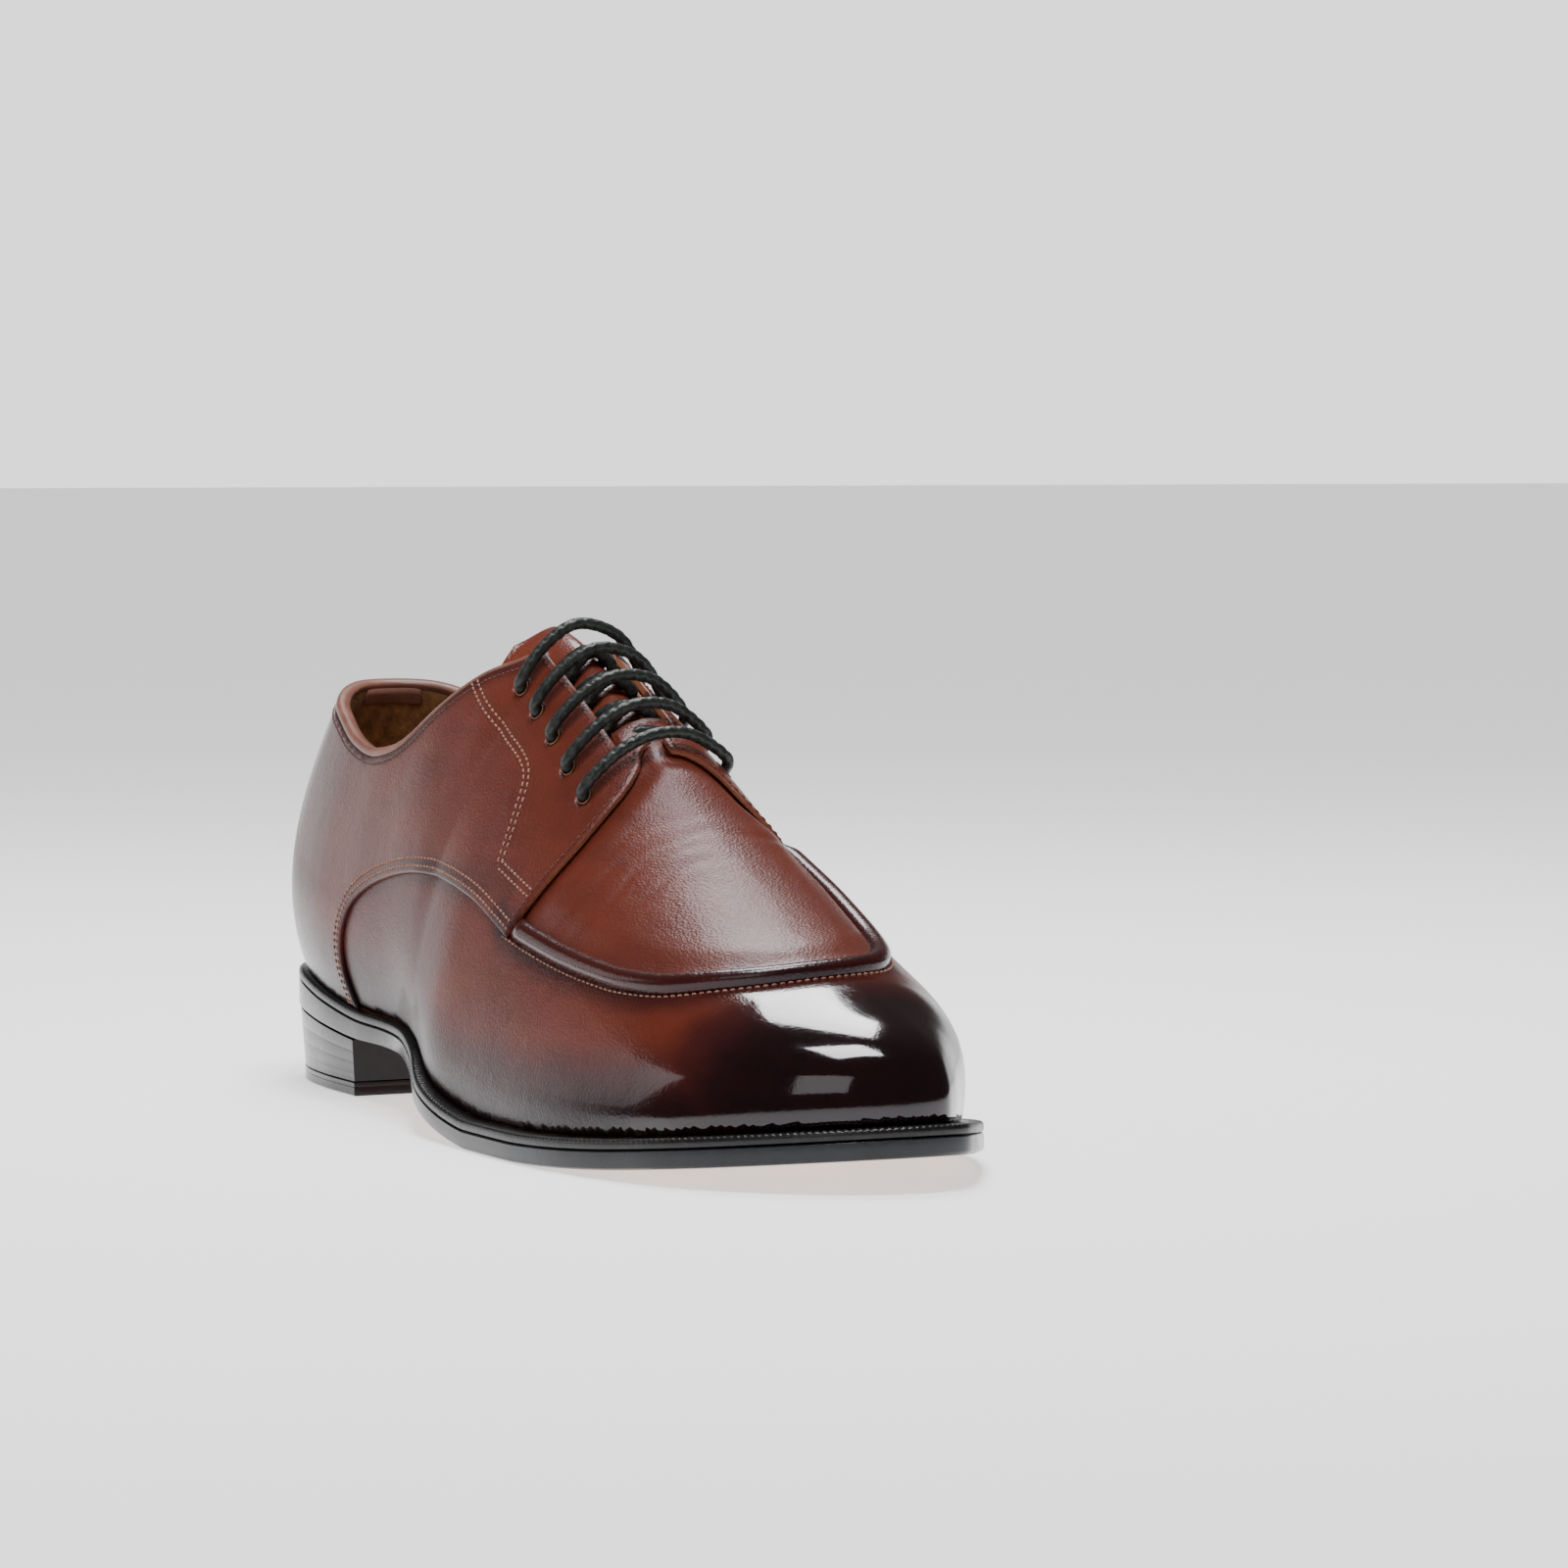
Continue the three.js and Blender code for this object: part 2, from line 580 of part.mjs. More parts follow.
// The apron as seen from above, and its rolled seam laid along that line on the skin
const apron_steps = 40;
const apronLine = curveThrough(APRON.map((row) => ({ x: row.at * length, y: row.across * half_ball })), apron_steps);
function apronPlateau() {
  const back = apronLine[0].x - 2 * welt_width;
  const last = apronLine[apronLine.length - 1];
  return topPrism([new THREE.Vector2(back, apronLine[0].y), ...apronLine, new THREE.Vector2(back, last.y)]);
}
function apronRidge() {
  const places = apronLine.map((p) => skinAt(p.x / length, p.y));
  return loft(places.map((place, i) => {
    const next = places[Math.min(i + 1, places.length - 1)].point;
    const before = places[Math.max(i - 1, 0)].point;
    const along = new THREE.Vector3().subVectors(next, before).normalize();
    const inward = place.normal.clone().cross(along).normalize();
    return RIDGE.map((row) => lifted(place, row.step).addScaledVector(inward, row.in));
  }));
}

// The upper: the vamp's wall, with the quarters, the apron and its seam standing on it
const root = 0.6;              // how far an overlay reaches into the wall below it
function makeUpper() {
  const quarterCut = quarterPrism(-1).add(quarterPrism(1));
  const quarters = layer(quarter_step, -root).intersect(quarterCut);
  const apron = layer(apron_step, -root).intersect(apronPlateau());
  const ridge = solid(apronRidge()).subtract(quarterCut);
  const upper = layer(0, -wall).add(quarters).add(apron).add(ridge);
  return upper.subtract(throatPrism()).subtract(eyeletHoles());
}

// The throat between the facings, with rounded corners in front
function throatPrism() {
  const half = throat_width / 2;
  const start = (throat_top - 0.1) * length;
  const corner = 3;
  return topPrism([
    new THREE.Vector2(start, throat_middle - half),
    new THREE.Vector2(throat_end - corner, throat_middle - half),
    new THREE.Vector2(throat_end, throat_middle - half + corner),
    new THREE.Vector2(throat_end, throat_middle + half - corner),
    new THREE.Vector2(throat_end - corner, throat_middle + half),
    new THREE.Vector2(start, throat_middle + half),
  ]);
}

const eyelet_sides = 8;
const eyelets = EYELETS.map((row) => ({
  outer: skinAt(row.at, row.outer * half_ball),
  inner: skinAt(row.at, row.inner * half_ball),
}));
function eyeletHoles() {
  const holes = eyelets.flatMap((pair) => [pair.outer, pair.inner]).map((place) => {
    const drill = new THREE.CylinderGeometry(eyelet_diameter / 2, eyelet_diameter / 2, 6 * wall, eyelet_sides);
    const turn = new THREE.Quaternion().setFromUnitVectors(new THREE.Vector3(0, 1, 0), place.normal);
    drill.applyQuaternion(turn);
    drill.translate(place.point.x, place.point.y, place.point.z);
    return solid(drill);
  });
  return wasm.Manifold.union(holes);
}

// A plate in strips across the shoe between a higher and a lower face, each with its own outline
function plate(higher, lower, steps) {
  const row = (face, k) => {
    const share = 0.5 - 0.5 * Math.cos((Math.PI * k) / steps);
    const x = face.from + (face.to - face.from) * share;
    const hits = [];
    face.outline.forEach((a, i) => {
      const b = face.outline[(i + 1) % face.outline.length];
      if ((a.x - x) * (b.x - x) <= 0 && a.x !== b.x) hits.push(a.y + ((x - a.x) / (b.x - a.x)) * (b.y - a.y));
    });
    const z = face.height(x / length);
    return [new THREE.Vector3(x, Math.min(...hits), z), new THREE.Vector3(x, Math.max(...hits), z)];
  };
  const rings = [];
  for (let k = 0; k <= steps; k += 1) {
    const [topOuter, topInner] = row(higher, k);
    const [lowOuter, lowInner] = row(lower, k);
    rings.push([topOuter, topInner, lowInner, lowOuter]);
  }
  return loft(rings);
}

// The welt: a strip round the whole sole, under the upper's rim
const welt_points = 4;         // every fourth point of the outline is enough
function makeWelt() {
  const inside = insetOutline((point) => featherInset(point) + wall + welt_cover);
  const rings = outline.map((point, i) => {
    const [a, b] = [point, inside[i]];
    const [high, deep] = [seat(a.x / length), seat(b.x / length)];
    return [
      new THREE.Vector3(a.x, a.y, high),
      new THREE.Vector3(a.x, a.y, high - welt_thickness),
      new THREE.Vector3(b.x, b.y, deep - welt_thickness),
      new THREE.Vector3(b.x, b.y, deep),
    ];
  }).filter((_, i) => i % welt_points === 0);
  const faces = rings.flatMap((ring, i) => band(ring, rings[(i + 1) % rings.length]));
  return geometryOf(faces);
}

// The tongue: a curved leaf under the facings, from ahead of the throat up past the collar
const tongue_rows = 17;
const tongue_columns = 8;
function tonguePoint(at, across, thickness) {
  const top = TONGUE[0].at;
  const key = top + (TONGUE[TONGUE.length - 1].at - top) * at ** 1.4;
  const half = throat_width * track(TONGUE, (row) => row.half, key);
  const on = Math.max(key, throat_top + 0.002);
  const place = skinAt(on, throat_middle + across * half);
  const depth = wall + gap + tongue_depth * track(TONGUE, (row) => row.sink, key) + thickness;
  place.point.x += (key - on) * length;
  place.point.z += ridge_z(key) - ridge_z(on);
  return lifted(place, -depth);
}
function makeTongue() {
  const rings = [];
  for (let j = 0; j <= tongue_columns; j += 1) {
    const across = -1 + (2 * j) / tongue_columns;
    const over = [];
    const below = [];
    for (let i = 0; i < tongue_rows; i += 1) {
      const at = i / (tongue_rows - 1);
      over.push(tonguePoint(at, across, 0));
      below.unshift(tonguePoint(at, across, tongue_thickness));
    }
    rings.push([...over, ...below]);
  }
  return stripLoft(rings, tongue_rows);
}

// A leaf of even thickness: rings run out along one face and home along the other
function stripLoft(rings, rows) {
  const faces = [];
  const ends = [[rings[0], false], [rings[rings.length - 1], true]];
  for (let k = 0; k + 1 < rings.length; k += 1) faces.push(...band(rings[k], rings[k + 1]));
  for (const [ring, flip] of ends) {
    for (let i = 0; i + 1 < rows; i += 1) {
      const face = [ring[i], ring[2 * rows - 1 - i], ring[2 * rows - 2 - i], ring[i + 1]];
      faces.push(flip ? face.reverse() : face);
    }
  }
  return geometryOf(faces);
}

// The folded tab over the top of the back seam
const TAB_TURNS = [30, 18, 0, -18, -30];
const tab_outside = 9;
const tab_inside = 6;
const tab_steps = 3;
function tabRing(degrees) {
  const turn = THREE.MathUtils.degToRad(degrees);
  const rib = makeRib(heel_pole, -Math.cos(turn), -Math.sin(turn));
  const top = ribTop(rib);
  const small = 0.01;
  const climb = rib.position(top).sub(rib.position(top - small));
  const pace = small / climb.length();
  const face = (drop, out, up) => {
    const v = top - drop * pace;
    const along = rib.position(v + small / 2).sub(rib.position(v - small / 2)).normalize();
    const outward = new THREE.Vector3(-Math.cos(turn), -Math.sin(turn), 0);
    outward.addScaledVector(along, -outward.dot(along)).normalize();
    return rib.position(v).addScaledVector(outward, out).addScaledVector(along, up);
  };
  const contour = (room) => {
    const points = [];
    for (let k = 0; k <= tab_steps; k += 1) {
      points.push(face(tab_outside * (1 - k / tab_steps), quarter_step + room, 0));
    }
    const bend = 0.7 * room;
    points.push(face(0, quarter_step + bend, bend), face(0, quarter_step, room));
    points.push(face(0, -wall, room), face(0, -wall - bend, bend));
    for (let k = 0; k <= tab_steps; k += 1) {
      points.push(face((tab_inside * k) / tab_steps, -wall - room, 0));
    }
    return points;
  };
  const over = contour(gap + tab_thickness);
  const below = contour(gap).reverse();
  return { ring: [...over, ...below], rows: over.length };
}
function makeTab() {
  const parts = TAB_TURNS.map(tabRing);
  return stripLoft(parts.map((part) => part.ring), parts[0].rows);
}

// A round cord through points, with flat ends
function cord(points, steps, sides) {
  const curve = new THREE.CatmullRomCurve3(points, false, 'centripetal');
  const frames = curve.computeFrenetFrames(steps, false);
  const rings = [];
  for (let k = 0; k <= steps; k += 1) {
    const middle = curve.getPointAt(k / steps);
    rings.push(Array.from({ length: sides }, (_, n) => {
      const turn = (2 * Math.PI * n) / sides;
      return middle.clone()
        .addScaledVector(frames.normals[k], (lace_diameter / 2) * Math.cos(turn))
        .addScaledVector(frames.binormals[k], (lace_diameter / 2) * Math.sin(turn));
    }));
  }
  return loft(rings);
}

// A straight bar of the lace: up out of one eyelet, over the throat, down into the other
function makeBar(pair) {
  const facing = quarter_step + gap;
  const end = (place, other) => {
    const toward = new THREE.Vector3().subVectors(other.point, place.point);
    toward.addScaledVector(place.normal, -toward.dot(place.normal)).normalize();
    return [
      lifted(place, facing + 0.5),
      lifted(place, facing + 1.4).addScaledVector(toward, 0.3),
      lifted(place, facing + 2.1).addScaledVector(toward, 2.2),
    ];
  };
  const at = pair.outer.point.x / length;
  const over = (y, height) => lifted(skinAt(at, y), height);
  const edge = throat_width / 2;
  return cord([
    ...end(pair.outer, pair.inner),
    over(throat_middle - edge, facing + 3.1),
    over(throat_middle, facing + 3.5),
    over(throat_middle + edge, facing + 3.1),
    ...end(pair.inner, pair.outer).reverse(),
  ], 13, 7);
}

// Two slanting runs of the lace that cross in the throat, above the tongue
function makeCross(before, after) {
  const margin = lace_diameter / 2 + 3 * gap;
  const edge = throat_width / 2 - margin;
  const deep = -(wall + tongue_depth) + lace_diameter / 2 + gap;
  const start = before.outer.point.x + 0.25 * (after.outer.point.x - before.outer.point.x);
  const finish = Math.min(
    after.outer.point.x - 0.25 * (after.outer.point.x - before.outer.point.x),
    throat_end - margin,
  );
  const run = (side) => {
    const points = [0, 0.5, 1].map((share) => {
      const at = (start + (finish - start) * share) / length;
      return lifted(skinAt(at, throat_middle + side * edge * (2 * share - 1)), deep);
    });
    return solid(cord(points, 4, 7));
  };
  return run(-1).add(run(1));
}

const leather = (color, roughness) => new THREE.MeshStandardMaterial({ color, roughness, metalness: 0 });
const upperLeather = leather(0x6b2a1c, 0.3);
const edgeBlack = leather(0x15151a, 0.35);
const tanLeather = leather(0xb07a48, 0.6);
const laceCord = leather(0x1c211e, 0.6);

const group = new THREE.Group();
group.position.x = -tread_centre;

function put(name, geometry, material) {
  const mesh = new THREE.Mesh(geometry, material);
  mesh.name = name;
  group.add(mesh);
}

// The sole: heel, outsole, welt and insole, from the floor up
const edge_clip = 0.15;        // plates end this far inside their outline's tips
const welt_cover = 0.6;        // the welt reaches this far inside the upper's wall
const breast = 0.233 * length;
const heel_inset = 0.4;        // of the heel under the outsole
const heel_taper = 1.1;        // how much narrower the heel is at the floor, each side
const outsoleTop = (at) => seat(at) - welt_thickness - gap;
const level = (height) => () => height;
const face = (inset, from, to, height) => ({ outline: insetOutline(level(inset)), from: from + edge_clip, to, height });
const heel_foot = heel_inset + heel_taper;
const breast_slant = 1.5;

put('top_lift', plate(
  face(heel_foot, heel_foot, breast - breast_slant, level(lift_thickness)),
  face(heel_foot + gap, heel_foot + gap, breast - breast_slant - gap, level(0)),
  20,
), edgeBlack);
put('heel_stack', plate(
  face(heel_inset, heel_inset, breast, (at) => under(at) - gap),
  face(heel_foot, heel_foot, breast - breast_slant, level(lift_thickness + gap)),
  20,
), edgeBlack);
put('outsole', plate(
  face(0, 0, length - edge_clip, outsoleTop),
  face(0, 0, length - edge_clip, under),
  40,
), edgeBlack);
put('welt', makeWelt(), edgeBlack);

const insoleInset = (point) => featherInset(point) + wall + welt_cover + 3 * gap;
const insoleFace = (height) => {
  const around = insetOutline(insoleInset);
  const xs = around.map((point) => point.x);
  return { outline: around, from: Math.min(...xs) + edge_clip, to: Math.max(...xs) - edge_clip, height };
};
const insoleBottom = (at) => seat(at) - welt_thickness;
put('insole', plate(insoleFace((at) => insoleBottom(at) + insole_thickness), insoleFace(insoleBottom), 32), tanLeather);

put('upper', geometryFrom(makeUpper()), upperLeather);
put('tongue', makeTongue(), upperLeather);
put('heel_tab', makeTab(), upperLeather);

eyelets.forEach((pair, i) => put(`lace_bar_${i + 1}`, makeBar(pair), laceCord));
eyelets.slice(1).forEach((pair, i) => {
  put(`lace_cross_${i + 1}`, geometryFrom(makeCross(eyelets[i], pair)), laceCord);
});

export default group;
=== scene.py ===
"""Looks of an apron-toe derby, the right shoe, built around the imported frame.

Lengths in the functions are millimetres, with x from the outsole's back edge towards the toe,
y to the inner side and z up. Meshes are put down in metres, in the row's frame.
"""
import math

import bpy
import numpy as np
from mathutils import Matrix, Vector
from mathutils.geometry import delaunay_2d_cdt


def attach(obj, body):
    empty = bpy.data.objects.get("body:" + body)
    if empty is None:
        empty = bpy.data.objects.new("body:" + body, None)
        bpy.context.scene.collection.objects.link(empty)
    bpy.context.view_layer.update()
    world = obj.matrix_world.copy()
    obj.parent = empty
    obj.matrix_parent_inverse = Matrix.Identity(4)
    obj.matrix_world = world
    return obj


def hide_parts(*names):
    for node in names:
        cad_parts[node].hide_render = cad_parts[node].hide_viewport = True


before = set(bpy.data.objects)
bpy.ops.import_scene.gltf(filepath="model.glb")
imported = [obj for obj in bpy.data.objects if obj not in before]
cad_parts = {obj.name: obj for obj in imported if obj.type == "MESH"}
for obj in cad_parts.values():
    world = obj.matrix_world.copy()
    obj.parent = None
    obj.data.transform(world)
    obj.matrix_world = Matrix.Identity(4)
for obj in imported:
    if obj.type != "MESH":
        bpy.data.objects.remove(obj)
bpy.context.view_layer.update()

# Driving sizes, as in the part's source
LENGTH = 296.0
HALF_BALL = 47.5
HALF_HEEL = 31.2
INSTEP = 113.0
TOE_HEIGHT = 42.0
BACK = 97.7
HEEL = 18.8
SPRING = 7.6
WELT_WIDTH = 4.8
GAP = 0.3
SOLE = 4.5
WELT = 2.2
LIFT = 3.4
WALL = 1.7
QUARTER = 1.2
THROAT = 14.6
LACE = 2.8
TREAD = 0.118 * LENGTH
HEEL_POLE = 0.105
TOE_POLE = 0.870
THROAT_TOP = 0.430
TOE_SLOPE = 0.40

# at, outer and inner half width, each a share of the last column
OUTLINE = np.array([
    (0.000, 0.000, 0.000, HALF_HEEL), (0.008, 0.378, 0.372, HALF_HEEL),
    (0.030, 0.654, 0.641, HALF_HEEL), (0.080, 0.885, 0.878, HALF_HEEL),
    (0.150, 1.000, 0.994, HALF_HEEL), (0.240, 1.026, 0.955, HALF_HEEL),
    (0.330, 0.686, 0.530, HALF_BALL), (0.410, 0.808, 0.488, HALF_BALL),
    (0.500, 0.994, 0.547, HALF_BALL), (0.580, 1.040, 0.695, HALF_BALL),
    (0.650, 1.050, 0.850, HALF_BALL), (0.710, 1.040, 0.956, HALF_BALL),
    (0.770, 0.998, 1.004, HALF_BALL), (0.830, 0.905, 0.977, HALF_BALL),
    (0.890, 0.762, 0.834, HALF_BALL), (0.940, 0.530, 0.657, HALF_BALL),
    (0.975, 0.275, 0.510, HALF_BALL), (0.992, 0.070, 0.400, HALF_BALL),
    (1.000, -0.173, 0.173, HALF_BALL)])

# at, underside in millimetres, thickness as a share of outsole and welt
BOTTOM = np.array([
    (0.000, 1.000 * HEEL, 1.43), (0.080, 0.973 * HEEL, 1.43), (0.160, 0.862 * HEEL, 1.25),
    (0.235, 0.761 * HEEL, 1.10), (0.310, 0.739 * HEEL, 1.01), (0.380, 0.670 * HEEL, 0.99),
    (0.440, 0.511 * HEEL, 0.99), (0.500, 0.277 * HEEL, 1.00), (0.560, 0.085 * HEEL, 1.00),
    (0.610, 0.0, 1.00), (0.700, 0.0, 1.00), (0.800, 0.184 * SPRING, 1.00),
    (0.900, 0.553 * SPRING, 1.00), (1.000, SPRING, 1.00)])

# at, axis, top, end, then inset, lean, rise, fold, spread of the outer side and of the inner side
RIBS = np.array([
    (0.000, 0.000, 1.070, 0.230, 0.69, 22, 0.333, 23, 0.38, 0.69, 22, 0.333, 23, 0.38),
    (0.060, 0.000, 1.070, 0.240, 0.69, 22, 0.333, 23, 0.38, 0.69, 22, 0.333, 23, 0.38),
    (0.140, 0.017, 1.070, 0.330, 0.62, 20, 0.333, 22, 0.38, 0.62, 18, 0.333, 22, 0.38),
    (0.240, 0.050, 1.070, 0.400, 0.50, 18, 0.333, 24, 0.38, 0.50, 12, 0.333, 22, 0.38),
    (0.330, 0.095, 1.056, 0.270, 0.42, 18, 0.354, 42, 0.333, 0.54, 20, 0.375, 34, 0.378),
    (0.385, 0.120, 1.035, 0.110, 0.44, 16, 0.366, 66, 0.290, 0.58, 25, 0.400, 62, 0.400),
    (0.430, 0.134, 0.985, 0.000, 0.50, 13, 0.376, 90, 0.300, 0.58, 26, 0.420, 90, 0.800),
    (0.480, 0.142, 0.873, 0.000, 0.66, 10, 0.375, 90, 0.330, 0.48, 25, 0.450, 90, 1.050),
    (0.560, 0.156, 0.676, 0.000, 0.83, 9, 0.367, 90, 0.345, 0.54, 20, 0.510, 90, 1.050),
    (0.640, 0.175, 0.444, 0.000, 0.92, 9, 0.374, 90, 0.443, 0.79, 15, 0.560, 90, 0.930),
    (0.720, 0.194, 0.261, 0.000, 0.96, 9, 0.372, 90, 0.557, 0.92, 11, 0.580, 90, 0.850),
    (0.800, 0.202, 0.113, 0.000, 1.00, 9, 0.406, 90, 0.636, 0.96, 10, 0.573, 90, 0.783),
    (0.870, 0.202, 0.000, 0.000, 1.00, 9, 0.469, 90, 0.642, 1.00, 10, 0.625, 90, 0.854),
    (1.000, 0.202, 0.000, 0.000, 1.00, 9, 0.540, 90, 0.653, 1.00, 9, 0.578, 90, 0.653)])

TOPLINE = np.array([
    (0.000, 1.000), (0.060, 0.998), (0.120, 0.932), (0.180, 0.873), (0.240, 0.853),
    (0.290, 0.892), (0.330, 0.982), (0.370, 1.062), (0.400, 1.098), (0.430, 1.150)])
FACING_OUTER = [(0.557, 0.800), (0.566, 0.772), (0.578, 0.742), (0.589, 0.695), (0.596, 0.600),
                (0.591, 0.505), (0.583, 0.412)]
FACING_INNER = [(0.557, 0.825), (0.571, 0.780), (0.589, 0.722), (0.610, 0.662), (0.622, 0.598),
                (0.606, 0.515), (0.583, 0.430)]
QUARTER_FOOT = [(0.555, 0.440), (0.512, 0.480), (0.457, 0.505), (0.391, 0.513), (0.329, 0.494),
                (0.278, 0.460), (0.243, 0.412), (0.224, 0.347), (0.222, 0.285), (0.236, 0.190)]
APRON = [(0.570, -0.722), (0.625, -0.705), (0.671, -0.687), (0.712, -0.660), (0.758, -0.610),
         (0.799, -0.510), (0.828, -0.350), (0.849, -0.150), (0.857, 0.060), (0.855, 0.260),
         (0.843, 0.440), (0.820, 0.560), (0.785, 0.625), (0.740, 0.650), (0.690, 0.658),
         (0.640, 0.650), (0.585, 0.630)]
EYELETS = [(0.4200, -0.200, 0.385), (0.4565, -0.214, 0.400), (0.4930, -0.231, 0.418),
           (0.5295, -0.252, 0.438), (0.5640, -0.264, 0.452)]


def track(rows, k, at):
    """Column k of a table at any place, smooth between the rows."""
    x, y = rows[:, 0], rows[:, k]
    gaps = np.diff(x)
    slope = np.diff(y) / gaps
    tangent = np.concatenate((slope[:1], (slope[:-1] * gaps[1:] + slope[1:] * gaps[:-1])
                              / (gaps[1:] + gaps[:-1]), slope[-1:]))
    at = np.clip(at, x[0], x[-1])
    i = np.clip(np.searchsorted(x, at) - 1, 0, len(x) - 2)
    t = (at - x[i]) / gaps[i]
    return ((2 * t**3 - 3 * t**2 + 1) * y[i] + (t**3 - 2 * t**2 + t) * gaps[i] * tangent[i]
            + (3 * t**2 - 2 * t**3) * y[i + 1] + (t**3 - t**2) * gaps[i] * tangent[i + 1])


def smooth(low, high, value):
    t = np.clip((value - low) / (high - low), 0, 1)
    return t * t * (3 - 2 * t)


def unit(v):
    return v / np.maximum(np.linalg.norm(v, axis=-1, keepdims=True), 1e-12)


def catmull(points, steps, closed=False):
    """A centripetal curve through points, with so many steps between two of them."""
    p = np.asarray(points, float)
    if not closed:
        p = np.vstack((2 * p[0] - p[1], p, 2 * p[-1] - p[-2]))
    count = len(p) if closed else len(p) - 3
    out = []
    for i in range(count):
        a, b, c, d = (p[(i + k - (1 if closed else 0)) % len(p)] for k in range(4))
        t1 = np.linalg.norm(b - a) ** 0.5
        t2 = t1 + np.linalg.norm(c - b) ** 0.5
        t3 = t2 + np.linalg.norm(d - c) ** 0.5
        t = np.linspace(t1, t2, steps, endpoint=False)[:, None]
        ab = (t1 - t) / t1 * a + t / t1 * b
        bc = (t2 - t) / (t2 - t1) * b + (t - t1) / (t2 - t1) * c
        cd = (t3 - t) / (t3 - t2) * c + (t - t2) / (t3 - t2) * d
        abc = (t2 - t) / t2 * ab + t / t2 * bc
        bcd = (t3 - t) / (t3 - t1) * bc + (t - t1) / (t3 - t1) * cd
        out.append((t2 - t) / (t2 - t1) * abc + (t - t1) / (t2 - t1) * bcd)
    if not closed:
        out.append(p[-2:-1])
    return np.vstack(out)


def resample(points, step, closed=False):
    """The same line with points an even step apart."""
    p = np.vstack((points, points[:1])) if closed else np.asarray(points)
    run = np.concatenate(([0], np.cumsum(np.linalg.norm(np.diff(p, axis=0), axis=1))))
    count = max(3, int(round(run[-1] / step)))
    at = np.linspace(0, run[-1], count, endpoint=False) if closed else np.linspace(0, run[-1], count + 1)
    return np.stack([np.interp(at, run, p[:, k]) for k in range(p.shape[1])], -1)


def under(at):
    return np.maximum(0, track(BOTTOM, 1, at))


def seat(at):
    return under(at) + (SOLE + WELT) * track(BOTTOM, 2, at)


def axis_y(at):
    return HALF_BALL * track(RIBS, 1, at)


def ridge_z(at):
    return TOE_HEIGHT + (INSTEP - TOE_HEIGHT) * track(RIBS, 2, at)


outer_knots = np.c_[OUTLINE[:, 0] * LENGTH, -OUTLINE[:, 1] * OUTLINE[:, 3]]
inner_knots = np.c_[OUTLINE[:, 0] * LENGTH, OUTLINE[:, 2] * OUTLINE[:, 3]][-2:0:-1]
outline = catmull(np.vstack((outer_knots, inner_knots)), 12, closed=True)


def inset(distance, line=outline):
    along = unit(np.roll(line, -2, 0) - np.roll(line, 2, 0))
    return line + np.c_[-along[:, 1], along[:, 0]] * np.broadcast_to(distance, len(line))[:, None]


def feather_inset(line):
    at = line[:, 0] / LENGTH
    inner = smooth(-10, 10, line[:, 1] - axis_y(at))
    return WELT_WIDTH * (track(RIBS, 4, at) * (1 - inner) + track(RIBS, 9, at) * inner)


feather = inset(feather_inset(outline))

# The last's skin as a table: ribs round the shoe, rows from the feather edge to the ridge
HEEL_ARC = 45.0
TOE_ARC = 130.0
SIDE = (TOE_POLE - HEEL_POLE) * LENGTH
AROUND = 2 * HEEL_ARC + 2 * SIDE + TOE_ARC
COLUMNS = 1500
ROWS = 121
place = np.arange(COLUMNS) * AROUND / COLUMNS


def rib_frame(s):
    """Station and plan direction of the rib at each place round the shoe."""
    s = np.asarray(s) % AROUND
    heel_turn = np.where(s < HEEL_ARC, s, s - AROUND) / HEEL_ARC * math.pi / 2
    toe_turn = (s - HEEL_ARC - SIDE) / TOE_ARC * math.pi
    heel = (s < HEEL_ARC) | (s > AROUND - HEEL_ARC)
    outer = ~heel & (s <= HEEL_ARC + SIDE)
    toe = ~heel & ~outer & (s < HEEL_ARC + SIDE + TOE_ARC)
    at = np.where(outer, HEEL_POLE + (s - HEEL_ARC) / LENGTH,
                  TOE_POLE - (s - HEEL_ARC - SIDE - TOE_ARC) / LENGTH)
    at = np.where(heel, HEEL_POLE, np.where(toe, TOE_POLE, at))
    dx = np.where(heel, -np.cos(heel_turn), np.where(toe, np.sin(toe_turn), 0.0))
    dy = np.where(heel, -np.sin(heel_turn), np.where(toe, -np.cos(toe_turn), np.where(outer, -1.0, 1.0)))
    return at, dx, dy, heel | toe, toe


def reach(ring, x, y, dx, dy):
    edge = np.roll(ring, -1, 0) - ring
    cross = dx[:, None] * edge[:, 1] - dy[:, None] * edge[:, 0]
    cross = np.where(abs(cross) < 1e-9, 1e-9, cross)
    rx, ry = ring[:, 0] - x[:, None], ring[:, 1] - y[:, None]
    t = (rx * edge[:, 1] - ry * edge[:, 0]) / cross
    w = (rx * dy[:, None] - ry * dx[:, None]) / cross
    return np.where((w >= 0) & (w < 1), t, 0).max(1)


rib_at, rib_dx, rib_dy, rib_pole, rib_toe = rib_frame(place)
rib_x, rib_y = rib_at * LENGTH, axis_y(rib_at)
span = reach(feather, rib_x, rib_y, rib_dx, rib_dy)
foot = (rib_x + rib_dx * span) / LENGTH
key = np.where(rib_pole, foot, rib_at)
inner_share = 0.5 + 0.5 * rib_dy


def mixed(k):
    return (1 - inner_share) * track(RIBS, k, key) + inner_share * track(RIBS, k + 5, key)


